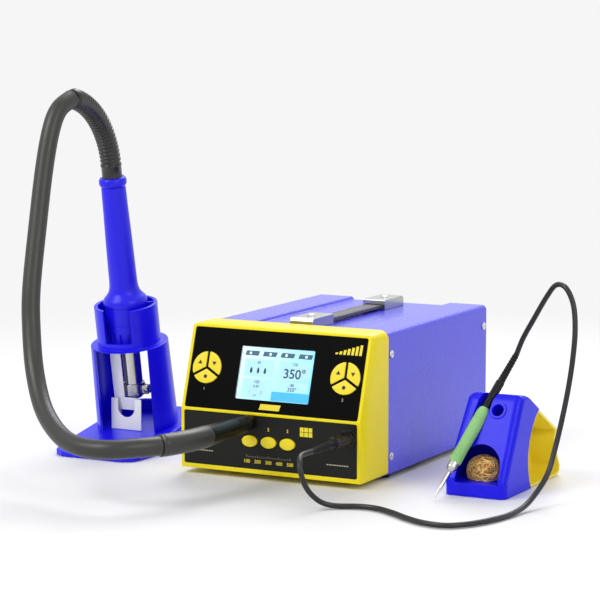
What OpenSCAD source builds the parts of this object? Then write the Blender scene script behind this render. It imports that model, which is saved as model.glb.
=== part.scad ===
/* [Station case] */
// Outside width of the case
case_w = 188; // [176:1:200]
// Depth of the case from the bezel joint to its rear edge
case_d = 224; // [214:1:240]
// Height of the case without its feet
case_h = 131; // [127:1:140]
// Radius of the long top edges
case_r = 5; // [3:0.5:8]
// Thickness of the cover, tray and rear panel sheet
sheet_t = 1.5; // [1:0.1:2]
// Width of the recessed channel along the top
channel_w = 104; // [90:1:112]
// Depth of that channel
channel_drop = 3; // [2:0.5:4]
// Height of the rubber feet
foot_h = 5; // [4:0.5:8]
// Diameter of the rubber feet
foot_dia = 15; // [12:1:18]

/* [Front bezel] */
// Depth of the bezel at its vertical lower face
bezel_d = 55; // [50:1:60]
// Height of the crease between the lower and the sloped face, above the case bottom
crease_h = 56; // [53:1:58]
// Lean of the sloped face from the vertical, in degrees
panel_lean = 17.7; // [15:0.1:20]
// Overhang of the bezel past the case on each side
bezel_over = 0.5; // [0.3:0.1:1.5]
// Rise of the bezel above the top of the case
bezel_rise = 2.5; // [1.5:0.5:4]
// Wall of the bezel
bezel_wall = 2.5; // [2:0.1:3]
// Thickness of the two front panels
panel_t = 2.2; // [1.8:0.1:3]
// Width of the yellow frame beside the two front panels
frame_w = 5; // [4:0.5:7]
// Width of the yellow bar between the two panels
bar_w = 3; // [2:0.5:4]

/* [Display and keys] */
// Width of the display window
screen_w = 75.5; // [70:0.5:80]
// Height of the display window
screen_h = 49.5; // [45:0.5:52]
// Height of the display's centre up the sloped face
screen_up = 37.7; // [36:0.1:40]
// Diameter of each cluster of three keys
keys_dia = 30; // [26:1:32]
// Distance from the side of the panel to the centre of each cluster
keys_in = 17.8; // [17:0.1:21]
// Height of the clusters up the sloped face
keys_up = 39.5; // [36:0.5:42]
// Gap between neighbouring keys
keys_gap = 2.4; // [2:0.1:3]
// Travel of a key
key_travel = 0.6; // [0.4:0.1:0.8]
// Length of a channel button
button_l = 17; // [15:0.5:18]
// Height of a channel button
button_h = 12; // [10:0.5:14]
// Spacing of the channel buttons
button_pitch = 19.6; // [18.5:0.1:21]
// Height of the channel buttons above the case bottom
button_up = 30.5; // [27:0.5:33]
// Travel of a channel button
button_travel = 1; // [0.6:0.1:1.5]

/* [Carrying handle] */
// Width of the chrome end brackets
bracket_w = 24; // [22:1:28]
// Length of the end brackets
bracket_l = 43; // [38:1:46]
// Height of the end brackets above the channel
bracket_h = 10; // [9:0.5:12]
// Distance from the case front to the handle
handle_y = 8.5; // [6:0.5:14]
// Length of the whole handle
handle_l = 197; // [185:1:200]
// Width of the strap
strap_w = 18; // [14:1:19]
// Thickness of the strap
strap_t = 3; // [2.5:0.5:4]
// Lengthwise play of the strap in its brackets, each way
strap_play = 3; // [2:0.5:4]

/* [Hot air gun] */
// Lean of the gun and its cradle towards the user, in degrees
gun_lean = 10; // [6:0.5:14]
// Diameter of the barrel
barrel_dia = 41; // [38:0.5:43]
// Diameter of the handle
handle_dia = 25; // [23:0.5:27]
// Wall of the gun's shells
gun_wall = 2.4; // [2:0.1:3]
// Outside diameter of the steel heater tube
tube_dia = 18.4; // [16:0.2:20]
// Wall of the heater tube
tube_wall = 0.8; // [0.6:0.1:1.2]
// Outside diameter of the nozzle's clamp ring
clamp_dia = 22; // [21:0.5:24]

/* [Gun stand] */
// Width of the stand's foot
foot_w = 92; // [84:1:100]
// Depth of the stand's foot
foot_l = 146; // [136:1:156]
// Height of the foot at its front edge
foot_front_h = 4.7; // [3:0.5:6]
// Outside diameter of the lower shell at its top
shell_dia = 76; // [73:1:80]
// Outside diameter of the upper collar
collar_dia = 62; // [60:1:64]
// Wall of the cradle
cradle_wall = 3.5; // [3:0.5:4]
// Height of the lower shell along the gun's axis
shell_h = 84; // [80:1:88]
// Height of the whole cradle along the gun's axis
cradle_h = 123; // [118:1:125]
// Width of the slot in the collar's front
slot_w = 27; // [24:1:29]
// Width of the window in the lower shell
window_w = 55; // [36:1:60]

/* [Air hose] */
// Diameter of the air hose
hose_dia = 17; // [15:0.5:18]
// Diameter of the sleeve on the hose
sleeve_dia = 20; // [19:0.5:22]
// Diameter of the hose socket's neck at the panel
socket_dia = 10; // [8:0.5:11]

/* [Soldering iron] */
// Diameter of the iron's grip
grip_dia = 12; // [11:0.5:13]
// Length of the grip
grip_l = 60; // [55:1:65]
// Diameter of the tip cartridge
cartridge_dia = 3.8; // [3:0.2:4.4]
// Diameter of the iron's rear body
tail_dia = 8; // [7:0.5:9]
// Diameter of the iron's cable
cable_dia = 4.8; // [4.4:0.2:5.2]
// Diameter of the iron's plug
plug_dia = 13; // [12:0.5:14]

/* [Iron stand] */
// Width of the stand at its base
stand_w = 59; // [56:1:64]
// Height of the stand
stand_h = 87; // [86:1:92]
// Wall of the stand
stand_wall = 2.6; // [2.2:0.1:3]
// Width of the arched opening to the wool
arch_w = 41; // [34:1:42]
// Diameter of the holder bore
holder_dia = 11; // [8:0.5:13]

/* [Hidden] */

$fn = 48;
hull_fn = 28;
// Gap left between flat faces of pieces that go into each other
fit = 0.1;
// Gap round a piece that moves in a hole
slide_gap = 0.25;

// Heights above the table
case_z = foot_h;
case_top = case_z + case_h;
channel_z = case_top - channel_drop;
crease_z = case_z + crease_h;
bezel_top = case_top + bezel_rise;
bezel_half = case_w/2 + bezel_over;
bezel_draft = 2;
edge_set_back = 9;
face_l = (bezel_top - 1.4 - crease_z)/cos(panel_lean);
face_top_y = -bezel_d + face_l*sin(panel_lean);
panel_w = 2*(bezel_half - frame_w);
panel_r = 2;
panel_clear = 0.1;
keys_x = panel_w/2 - keys_in;
upper_lo = bar_w/2;
upper_hi = face_l - 2.5;
lower_lo = case_z + 4.5;
lower_hi = crease_z - bar_w/2;
ledge = 3;

// Places of the stands and of the sockets, in the station's frame
gun_x = -204;
stand_x = 195;
stand_front_y = -34;
hose_x = -20;
hose_z = case_z + 48;
plug_in = 7.5;
plug_x = panel_w/2 - plug_in;
plug_z = case_z + 42;

// The frame's origin is on the table, under the middle of everything but the two cords
left_x = gun_x + 3 - foot_w/2;
right_x = stand_x + stand_w/2;
socket_out = 12;
fuse_cap_h = 5.5;
rear_set_in = 3;
front_y = -bezel_d - socket_out;
back_y = case_d - rear_set_in + fuse_cap_h;
module set_out() translate([-(left_x + right_x)/2, -(front_y + back_y)/2, 0]) children();

// Directions and simple outlines
module along_y(from, to) translate([0, to, 0]) rotate([90, 0, 0]) linear_extrude(to - from) children();
module along_x(from, to) translate([from, 0, 0]) rotate([90, 0, 90]) linear_extrude(to - from) children();
module on_slope() translate([0, -bezel_d, crease_z]) rotate([90 - panel_lean, 0, 0]) children();
module on_front() translate([0, -bezel_d, 0]) rotate([90, 0, 0]) children();

module rounded(w, h, r) {
    square([w - 2*r, h], center = true);
    square([w, h - 2*r], center = true);
    for (x = [-1, 1], y = [-1, 1]) translate([x*(w/2 - r), y*(h/2 - r)]) circle(r);
}

// Outline that stands on its lower edge, with its own radius above and below
module standing(half, low, high, top_r, low_r) {
    translate([-half + top_r, low + low_r]) square([2*(half - top_r), high - low - low_r]);
    translate([-half, low + low_r]) square([2*half, high - low - low_r - top_r]);
    translate([-half + low_r, low]) square([2*(half - low_r), low_r + 0.01]);
    for (s = [-1, 1]) {
        translate([s*(half - top_r), high - top_r]) circle(top_r);
        translate([s*(half - low_r), low + low_r]) circle(low_r);
    }
}

function unit(v) = v/norm(v);
function ellipse(a, b, n = 40) = [for (i = [0:n - 1]) [a*cos(360*i/n), b*sin(360*i/n)]];

// Section of the case cover, drawn in by an inset
module cover_outline(inset) {
    half = case_w/2 - inset;
    difference() {
        standing(half, case_z, case_top - inset, case_r - inset*0.6, 0.2);
        polygon([[-channel_w/2 - inset, channel_z - inset], [channel_w/2 + inset, channel_z - inset],
                 [channel_w/2 + inset + channel_drop, case_top + 1], [-channel_w/2 - inset - channel_drop, case_top + 1]]);
    }
}

// Case screws: two at the front and two at the rear of each side
screw_z = [case_z + 16, case_z + 111];
screw_y = [5.5, case_d - 8];
screw_dia = 3;
screw_head_dia = 7.4;
screw_head_h = 2.2;
screw_hole_dia = screw_dia + fit;
lip_t = 3;
lip_l = 12;
inner_half = case_w/2 - sheet_t - fit;

module side_screw_holes() {
    for (y = screw_y, z = screw_z) translate([-case_w/2 - 1, y, z])
        rotate([0, 90, 0]) cylinder(d = screw_hole_dia, h = case_w + 2);
}

module case_cover() set_out() color([0.33, 0.32, 0.83]) difference() {
    along_y(0, case_d) cover_outline(0);
    along_y(-1, case_d + 1) cover_outline(sheet_t);
    translate([-case_w/2 + sheet_t, -1, case_z - 1]) cube([case_w - 2*sheet_t, case_d + 2, 3]);
    side_screw_holes();
    for (y = handle_screw_y) translate([0, y, channel_z - sheet_t - 1]) cylinder(d = handle_screw_dia + fit, h = sheet_t + 2);
}

// Tray: floor with low side flanges, standing inside the cover
tray_flange_h = 7;
feet_x = case_w/2 - 12;
feet_y = [14, case_d - 22];
board_t = 1.6;
board_w = 80;
board_l = 92;
board_at = [9 - case_w/2, case_d - 103];
board_lift = 8;
post_in = 7;
board_posts = [for (x = [post_in, board_w - post_in], y = [post_in, board_l - post_in]) board_at + [x, y]];
module chassis_tray() set_out() color([0.55, 0.56, 0.6]) {
    difference() {
        union() {
            translate([-inner_half, 0.5, case_z]) cube([2*inner_half, case_d - 1, sheet_t]);
            for (s = [0, 1]) mirror([s, 0, 0])
                translate([inner_half - sheet_t, 0.5, case_z]) cube([sheet_t, case_d - 1, tray_flange_h]);
        }
        for (x = [-feet_x, feet_x], y = feet_y) translate([x, y, case_z - 1]) cylinder(d = 4, h = sheet_t + 2);
        for (i = [0:8]) translate([20 + 8*i, 60, case_z - 1]) cube([3, 40, sheet_t + 2]);
    }
    for (p = board_posts) translate([p.x, p.y, case_z + sheet_t]) difference() {
        cylinder(d = 6, h = board_lift);
        translate([0, 0, 2]) cylinder(d = 2.6, h = board_lift - 1);
    }
}

// Feet: rubber discs with a plug through the tray
module rubber_feet() set_out() color([0.08, 0.08, 0.08])
    for (x = [-feet_x, feet_x], y = feet_y) translate([x, y, 0]) {
        cylinder(d1 = foot_dia - 2, d2 = foot_dia, h = 1.5);
        translate([0, 0, 1.5]) cylinder(d = foot_dia, h = foot_h - 1.5);
        cylinder(d = 3.9, h = foot_h + sheet_t);
    }

module case_screws() set_out() color([0.8, 0.8, 0.82])
    for (s = [0, 1], y = screw_y, z = screw_z) mirror([s, 0, 0]) translate([case_w/2, y, z]) rotate([0, 90, 0]) {
        difference() {
            rotate_extrude() polygon([[0, 0], [screw_head_dia/2, 0], [screw_head_dia/2, screw_head_h*0.5],
                                      [screw_head_dia/2 - 0.8, screw_head_h], [0, screw_head_h]]);
            for (a = [0, 90]) rotate(a) translate([-2, -0.5, screw_head_h - 1]) cube([4, 1, 2]);
        }
        translate([0, 0, -7]) cylinder(d = screw_dia, h = 7);
    }

// Rear panel: a recessed plate with side flanges, cut for its fittings
inlet_at = [-58, case_z + 34];
rocker_at = [-58, case_z + 72];
fuse_at = [-24, case_z + 34];
fan_at = [38, case_z + 62];
fan_size = 60;
fan_t = 20;
fan_bore = 56;
inlet_w = 27;
inlet_h = 20;
inlet_mouth = [inlet_w - 3, inlet_h - 3.5];
inlet_screw_x = 20;
rocker_w = 19;
rocker_h = 13;
fuse_dia = 12;
module rear_panel() set_out() color([0.3, 0.3, 0.36]) {
    difference() {
        along_y(case_d - rear_set_in - sheet_t, case_d - rear_set_in) difference() {
            cover_outline(sheet_t + fit);
            translate([-case_w/2, case_z - 1]) square([case_w, 1 + sheet_t + fit]);
            translate(inlet_at) square([inlet_w + 2*fit, inlet_h + 2*fit], center = true);
            translate(rocker_at) square([rocker_w + 2*fit, rocker_h + 2*fit], center = true);
            translate(fuse_at) circle(d = fuse_dia + 2*fit);
            translate(fan_at) difference() {
                circle(d = fan_bore);
                for (r = [9, 16, 23]) difference() { circle(r + 1.2); circle(r - 1.2); }
                for (a = [0, 90]) rotate(a) square([fan_bore, 2.4], center = true);
            }
            for (i = [0:6]) translate([-74 + 6*i, case_z + 98]) square([3, 16]);
        }
        for (x = [-1, 1]) translate([x*(inner_half - sheet_t - fit), case_d, case_z])
            cube([2*sheet_t + 2*fit + 0.4, 2*rear_set_in + 4*sheet_t, 2*tray_flange_h + 1], center = true);
    }
    for (s = [0, 1]) mirror([s, 0, 0]) difference() {
        translate([inner_half - sheet_t, case_d - rear_set_in - sheet_t - 10, case_z + tray_flange_h + 1])
            cube([sheet_t, 10.5, case_h - tray_flange_h - 1 - 14]);
        for (z = screw_z) translate([inner_half - 5, screw_y[1], z]) rotate([0, 90, 0]) cylinder(d = screw_hole_dia, h = 8);
    }
}

module mains_inlet() set_out() color([0.1, 0.1, 0.1]) translate([0, case_d - rear_set_in, 0]) rotate([90, 0, 180])
    translate([-inlet_at.x, inlet_at.y, 0]) {
    difference() {
        union() {
            translate([0, 0, -sheet_t - 16]) linear_extrude(16 + sheet_t) rounded(inlet_w, inlet_h, 2);
            linear_extrude(2.5) rounded(2*inlet_screw_x + 9, inlet_h + 4, 4);
        }
        translate([0, 0, -14]) linear_extrude(20) rounded(inlet_mouth.x, inlet_mouth.y, 3);
        for (x = [-inlet_screw_x, inlet_screw_x]) translate([x, 0, -1]) cylinder(d = 3.2, h = 6);
    }
    for (x = [-7, 0, 7]) translate([x - 2, (x == 0 ? 2 : -2) - 1, -14.5]) cube([4, 2, 13]);
}

module fuse_holder() set_out() color([0.12, 0.12, 0.12]) translate([0, case_d - rear_set_in, 0]) rotate([90, 0, 180])
    translate([-fuse_at.x, fuse_at.y, 0]) {
    translate([0, 0, -sheet_t - 22]) cylinder(d = fuse_dia, h = 22 + sheet_t);
    cylinder(d = fuse_dia + 4, h = 2.9);
    difference() {
        translate([0, 0, 2.9]) cylinder(d = fuse_dia - 1, h = fuse_cap_h - 2.9);
        translate([-4, -0.7, 4.4]) cube([8, 1.4, 2]);
    }
}

// Power rocker: the frame clips in the panel, the rocker tips about a pin along X
rocker_pivot_in = 3;
rocker_pin_dia = 3;
module rocker_frame() set_out() color([0.06, 0.06, 0.06]) translate([0, case_d - rear_set_in, 0]) rotate([90, 0, 180])
    translate([-rocker_at.x, rocker_at.y, 0]) {
    difference() {
        union() {
            linear_extrude(1.6) rounded(rocker_w + 3, rocker_h + 3, 1);
            translate([-rocker_w/2, -rocker_h/2, -sheet_t - 11]) cube([rocker_w, rocker_h, 11 + sheet_t]);
        }
        translate([-rocker_w/2 + 2.5, -rocker_h/2 + 1, -sheet_t - 7]) cube([rocker_w - 5, rocker_h - 2, 20]);
    }
    for (s = [-1, 1]) translate([s*(rocker_w/2 - 3.25), 0, -rocker_pivot_in]) rotate([0, 90, 0])
        cylinder(d = rocker_pin_dia - 0.1, h = 1.6, center = true);
}
module power_rocker() set_out() color([0.7, 0.06, 0.05]) translate([0, case_d - rear_set_in, 0]) rotate([90, 0, 180])
    translate([-rocker_at.x, rocker_at.y, -rocker_pivot_in]) difference() {
        translate([-(rocker_w - 6)/2, 0, 0]) rotate([90, 0, 90]) linear_extrude(rocker_w - 6)
            polygon([[-3.8, -1.2], [3.8, -1.2], [4.4, 3.2], [3.9, 6.2], [0, 4.3], [-3.9, 5], [-4.4, 3.2]]);
        for (s = [-1, 1]) translate([s*(rocker_w/2 - 3.25), 0, 0]) rotate([0, 90, 0])
            cylinder(d = rocker_pin_dia, h = 2.6, center = true);
    }

// Axial fan behind the rear panel
fan_hub_dia = 24;
fan_blade_count = 7;
fan_y = case_d - rear_set_in - sheet_t;
module fan_frame() set_out() color([0.07, 0.07, 0.07]) translate([fan_at.x, fan_y, fan_at.y]) rotate([90, 0, 0]) {
    difference() {
        linear_extrude(fan_t) rounded(fan_size, fan_size, 3);
        translate([0, 0, -1]) cylinder(d = fan_bore, h = fan_t + 2);
        for (x = [-1, 1], y = [-1, 1]) translate([25*x, 25*y, -1]) cylinder(d = 4.2, h = fan_t + 2);
    }
    difference() {
        union() {
            translate([0, 0, fan_t - 2.5]) cylinder(d = fan_hub_dia, h = 2.5);
            for (a = [45:90:315]) rotate(a) translate([fan_hub_dia/2 - 1, -1.5, fan_t - 2.5])
                cube([(fan_bore - fan_hub_dia)/2 + 1.5, 3, 2.5]);
            translate([0, 0, 6]) cylinder(d = 3, h = fan_t - 6);
        }
    }
}
module fan_rotor() set_out() color([0.1, 0.1, 0.1]) translate([fan_at.x, fan_y, fan_at.y]) rotate([90, 0, 0])
    difference() {
        union() {
            translate([0, 0, 2]) cylinder(d = fan_hub_dia, h = fan_t - 5);
            for (i = [0:fan_blade_count - 1]) rotate(360*i/fan_blade_count)
                translate([fan_hub_dia/2 - 1.5, 0, fan_t/2 - 0.5]) rotate([38, 0, 0])
                    translate([0, -8.5, -0.8]) cube([(fan_bore - fan_hub_dia)/2 - 0.2, 17, 1.6]);
        }
        translate([0, 0, 5]) cylinder(d = 3.1, h = fan_t);
    }

// Bezel: one moulded shell with a sloped upper and an upright lower face
module bezel_body(side, front, back) intersection() {
    along_x(-bezel_half, bezel_half) polygon([[back, case_z - 0.5 + side], [edge_set_back - bezel_d + front, case_z - 0.5 + side],
        [front - bezel_d, case_z + 0.5 + side], [front - bezel_d, crease_z], [face_top_y + front, bezel_top - 1.4 - side],
        [face_top_y + 7 + front, bezel_top - side], [back, bezel_top - side]]);
    along_y(-bezel_d - 1, back) standing(bezel_half - side, case_z - 0.5 + side, bezel_top - side, 9 - side, 4 - side/2);
    translate([0, -bezel_d + front, 0]) linear_extrude(bezel_top) bezel_plan(side);
    on_slope() translate([0, 0, -front]) rotate([-90, 0, 0]) translate([0, 0, -crease_h]) linear_extrude(2*face_l) bezel_plan(side);
}
// The face, drawn in a little at its two sides
module bezel_plan(side) {
    half = bezel_half - side;
    polygon([[bezel_draft - half, 0], [half - bezel_draft, 0], [half, edge_set_back], [half, 2*bezel_d],
             [-half, 2*bezel_d], [-half, edge_set_back]]);
}
front_wall = 4.5;
module front_bezel() set_out() color([0.94, 0.88, 0.18]) {
    difference() {
        bezel_body(0, 0, 0);
        bezel_body(bezel_wall, front_wall, 1);
        on_slope() translate([0, (upper_lo + upper_hi)/2, -panel_t]) linear_extrude(8)
            rounded(panel_w, upper_hi - upper_lo, panel_r);
        on_slope() translate([0, (upper_lo + upper_hi)/2, -12]) linear_extrude(12)
            rounded(panel_w - 2*ledge, upper_hi - upper_lo - 2*ledge, 1.5);
        on_front() translate([0, (lower_lo + lower_hi)/2, -panel_t]) linear_extrude(8)
            rounded(panel_w, lower_hi - lower_lo, panel_r);
        on_front() translate([0, (lower_lo + lower_hi)/2, -10]) linear_extrude(10)
            rounded(panel_w - 2*ledge, lower_hi - lower_lo - 2*ledge, 1.5);
        for (s = [-1, 1]) on_slope() translate([s*keys_x, keys_up, -11]) cylinder(d = keys_dia + 4, h = 10);
        on_front() translate([hose_x, hose_z, -9]) cylinder(d = socket_dia + 2.6, h = 8);
        on_front() translate([plug_x, plug_z, -9]) cylinder(d = plug_dia + 1.4, h = 8);
    }
    for (s = [0, 1]) mirror([s, 0, 0]) difference() {
        union() {
            translate([inner_half - lip_t, -6, case_z + tray_flange_h + 2])
                cube([lip_t, lip_l + 6, case_h - tray_flange_h - 14]);
            translate([inner_half - lip_t, -6, case_z + tray_flange_h + 2])
                cube([lip_t + 2, 6, case_h - tray_flange_h - 14]);
        }
        for (z = screw_z) translate([inner_half - 6, screw_y[0], z]) rotate([0, 90, 0]) cylinder(d = screw_hole_dia, h = 9);
    }
}

// One petal of a three-key cluster: 0 upper left, 1 upper right, 2 lower
module petal(kind, grow) {
    turn = [150, 30, 270][kind];
    far = keys_dia;
    apex = (keys_gap/2 - grow)/sin(60);
    rotate(turn) intersection() {
        circle(d = keys_dia + 2*grow);
        polygon([[apex, 0], [apex + far*cos(60), far*sin(60)], [apex + 2*far, 0], [apex + far*cos(60), -far*sin(60)]]);
    }
}
module upper_panel() set_out() color([0.02, 0.02, 0.02]) on_slope()
    translate([0, 0, -panel_t]) linear_extrude(panel_t - 0.3) difference() {
        translate([0, (upper_lo + upper_hi)/2])
            rounded(panel_w - 2*panel_clear, upper_hi - upper_lo - 2*panel_clear, panel_r - panel_clear);
        translate([0, screen_up]) rounded(screen_w, screen_h, 1.5);
        for (x = [-keys_x, keys_x], k = [0:2]) translate([x, keys_up]) petal(k, slide_gap);
    }
module lower_panel() set_out() color([0.2, 0.2, 0.2]) on_front()
    translate([0, 0, -panel_t]) linear_extrude(panel_t - 0.3) difference() {
        translate([0, (lower_lo + lower_hi)/2])
            rounded(panel_w - 2*panel_clear, lower_hi - lower_lo - 2*panel_clear, panel_r - panel_clear);
        for (i = [-1:1]) translate([i*button_pitch - 0.7, case_z + button_up])
            polygon(ellipse(button_l/2 + slide_gap, button_h/2 + slide_gap));
        translate([hose_x, hose_z]) circle(d = socket_dia + 2*fit);
        translate([plug_x, plug_z]) circle(d = plug_dia + 2*fit);
    }

// Display: clear window in the panel, module and key board behind
module display_window() set_out() color([0.6, 0.8, 0.9, 0.4]) on_slope()
    translate([0, screen_up, -panel_t]) linear_extrude(panel_t - 0.4)
        rounded(screen_w - 2*fit, screen_h - 2*fit, 1.5 - fit);
display_t = 4;
board_gap = 8;
module display_module() set_out() color([0.55, 0.85, 0.92]) on_slope() {
    translate([0, screen_up, -panel_t - fit - display_t]) linear_extrude(display_t) rounded(screen_w + 8, screen_h + 8, 1);
    for (x = [-1, 1], y = [-1, 1]) translate([x*36, screen_up + y*23, -panel_t - board_gap])
        cylinder(d = 4, h = board_gap - fit - display_t);
}
key_board_w = panel_w - 13;
key_board_h = 62;
hole_in = 3;
switch_r = 8;
switch_h = 4;
module key_board() set_out() color([0.1, 0.35, 0.15]) on_slope() {
    translate([0, screen_up, -panel_t - board_gap - board_t]) linear_extrude(board_t) difference() {
        rounded(key_board_w, key_board_h, 2);
        for (x = [-1, 1], y = [-1, 1]) translate([x*(key_board_w/2 - hole_in), y*(key_board_h/2 - hole_in)]) circle(d = 3);
    }
    for (x = [-keys_x, keys_x], a = [150, 30, 270])
        translate([x + switch_r*cos(a), keys_up + switch_r*sin(a), -panel_t - board_gap]) cylinder(d = 4, h = board_gap - switch_h);
    for (i = [-2:2]) translate([i*22 - 4, screen_up - 14, -panel_t - board_gap - board_t - 3]) cube([9, 9, 3]);
}

// Keys: a cap that stands out of the panel, a flange behind it and a stem to its switch
key_proud = 0.9;
key_flange_t = 1.2;
key_stem_gap = key_travel + 0.15;
module panel_key(x, kind) set_out() color([0.94, 0.86, 0.15]) on_slope() translate([x, keys_up, 0]) {
    translate([0, 0, -panel_t - key_flange_t]) linear_extrude(panel_t + key_flange_t + key_proud - 0.3) petal(kind, 0);
    translate([0, 0, -panel_t - key_flange_t - fit]) linear_extrude(key_flange_t) petal(kind, keys_gap/2 - slide_gap);
    turn = [150, 30, 270][kind];
    translate([switch_r*cos(turn), switch_r*sin(turn), -panel_t - switch_h + key_stem_gap])
        cylinder(d = 3.4, h = switch_h - key_stem_gap - key_flange_t);
}
module air_up_key() panel_key(-keys_x, 0);
module air_down_key() panel_key(-keys_x, 1);
module air_set_key() panel_key(-keys_x, 2);
module heat_up_key() panel_key(keys_x, 0);
module heat_down_key() panel_key(keys_x, 1);
module heat_set_key() panel_key(keys_x, 2);

// Channel buttons on the lower panel
button_proud = 1.8;
module channel_button(i) set_out() color([0.94, 0.86, 0.15]) on_front()
    translate([i*button_pitch - 0.7, case_z + button_up, 0]) {
        translate([0, 0, -panel_t - 1]) linear_extrude(panel_t + 1 + button_proud) polygon(ellipse(button_l/2, button_h/2));
        translate([0, 0, -panel_t - 1.4 - fit]) linear_extrude(1.4) polygon(ellipse(button_l/2 + 0.8, button_h/2 + 0.8));
        translate([0, 0, -panel_t - 6]) cylinder(d = 4, h = 5);
    }
module channel_1_button() channel_button(-1);
module channel_2_button() channel_button(0);
module channel_3_button() channel_button(1);

// Carrying handle: two cast brackets and a strap with slotted ends
handle_screw_in = 19.5;
handle_screw_dia = 4;
handle_screw_y = [handle_y + handle_screw_in, handle_y + handle_l - handle_screw_in];
strap_z = 2;
strap_gap = 0.3;
bracket_end_wall = 8;
module handle_bracket() difference() {
    union() {
        difference() {
            along_x(-bracket_w/2, bracket_w/2) polygon([[0, 0], [bracket_l, 0], [bracket_l, bracket_h - 0.8],
                [bracket_l - 0.8, bracket_h], [2, bracket_h], [0, bracket_h - 3]]);
            translate([-strap_w/2 - strap_gap, bracket_end_wall, strap_z - strap_gap])
                cube([strap_w + 2*strap_gap, bracket_l, strap_t + 2*strap_gap]);
        }
        translate([0, handle_screw_in, 0]) cylinder(d = handle_screw_dia + 2.6, h = bracket_h - 0.5);
    }
    translate([0, handle_screw_in, -1]) cylinder(d = handle_screw_dia + fit, h = bracket_h + 2);
    for (s = [-1, 1]) translate([s*(bracket_w/2 + 0.4), bracket_l/2, bracket_h + 0.4]) rotate([0, 45, 0])
        cube([1.8, bracket_l + 2, 1.8], center = true);
}
module handle_front_bracket() set_out() color([0.85, 0.85, 0.87]) translate([0, handle_y, channel_z]) handle_bracket();
module handle_rear_bracket() set_out() color([0.85, 0.85, 0.87])
    translate([0, handle_y + handle_l, channel_z]) rotate(180) handle_bracket();
module handle_strap() set_out() color([0.3, 0.3, 0.33]) translate([0, 0, channel_z + strap_z]) difference() {
    in_end = handle_y + bracket_end_wall + strap_play + 0.5;
    out_end = handle_y + handle_l - bracket_end_wall - strap_play - 0.5;
    translate([0, (in_end + out_end)/2, 0]) linear_extrude(strap_t) rounded(strap_w, out_end - in_end, 3);
    for (y = handle_screw_y) translate([0, y, -1]) linear_extrude(strap_t + 2)
        rounded(handle_screw_dia + 4, handle_screw_dia + 4 + 2*strap_play, 2);
    for (x = [-strap_w/2 + 2.5, strap_w/2 - 2.5]) translate([x - 0.4, handle_y + bracket_l + 3, strap_t - 0.6])
        cube([0.8, handle_l - 2*bracket_l - 6, 1]);
}
module handle_screws() set_out() color([0.75, 0.75, 0.78]) for (y = handle_screw_y) translate([0, y, channel_z]) {
    difference() {
        translate([0, 0, bracket_h]) cylinder(d1 = 7.4, d2 = 6, h = 1.6);
        for (a = [0, 90]) rotate(a) translate([-2, -0.5, bracket_h + 0.8]) cube([4, 1, 2]);
    }
    translate([0, 0, -sheet_t - 5]) cylinder(d = handle_screw_dia, h = bracket_h + sheet_t + 5);
    translate([0, 0, -sheet_t - 3.6]) cylinder(d = 8, h = 3.5, $fn = 6);
}

// Inside the case: control board, transformer and blower
sink_at = [12, 22];
sink_l = 42;
fin_pitch = 3.4;
module main_board() set_out() color([0.08, 0.3, 0.14]) translate([board_at.x, board_at.y, case_z + sheet_t + board_lift]) {
    difference() {
        cube([board_w, board_l, board_t]);
        for (p = board_posts) translate([p.x - board_at.x, p.y - board_at.y, -1]) cylinder(d = 3.2, h = board_t + 2.4);
    }
    for (i = [0:5]) translate([sink_at.x + 2 + fin_pitch*i, sink_at.y, board_t]) cube([1.4, sink_l, 22]);
    translate([sink_at.x, sink_at.y, board_t]) cube([22, sink_l, 3]);
    for (y = [30, 48]) translate([46, y, board_t]) cylinder(d = 14, h = 24);
    translate([58, 24, board_t]) cube([16, 28, 15]);
    for (i = [0:3]) translate([14 + 14*i, board_l - 16, board_t]) cube([11, 9, 9]);
}
core_w = 62;
core_l = 26;
core_h = 54;
core_at = [case_w/2 - 50, case_d - 74];
core_leg = 3;
coil_x = 15;
coil_w = 12;
coil_h = 34;
coil_out = 9;
module transformer() set_out() color([0.35, 0.33, 0.3]) translate([core_at.x, core_at.y, case_z + sheet_t]) {
    mid = core_h/2 + core_leg;
    difference() {
        translate([-core_w/2, -core_l/2, core_leg]) cube([core_w, core_l, core_h]);
        for (x = [-coil_x, coil_x]) translate([x, 0, mid]) cube([coil_w, core_l + 2, coil_h], center = true);
    }
    for (x = [-coil_x, coil_x]) translate([x, 0, mid]) cube([coil_w - 0.2, core_l + 2*coil_out, coil_h - 0.2], center = true);
    for (s = [-1, 1]) translate([0, s*(core_l/2 + coil_out/2 - 0.05), mid])
        cube([2*coil_x + coil_w - 0.2, coil_out + 0.1, coil_h - 0.2], center = true);
    difference() {
        translate([-core_w/2 - 8, -core_l/2, 0]) cube([core_w + 16, core_l, core_leg]);
        for (s = [-1, 1]) translate([s*(core_w/2 + 4), 0, -1]) cylinder(d = 4.2, h = core_leg + 2);
    }
}

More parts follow.
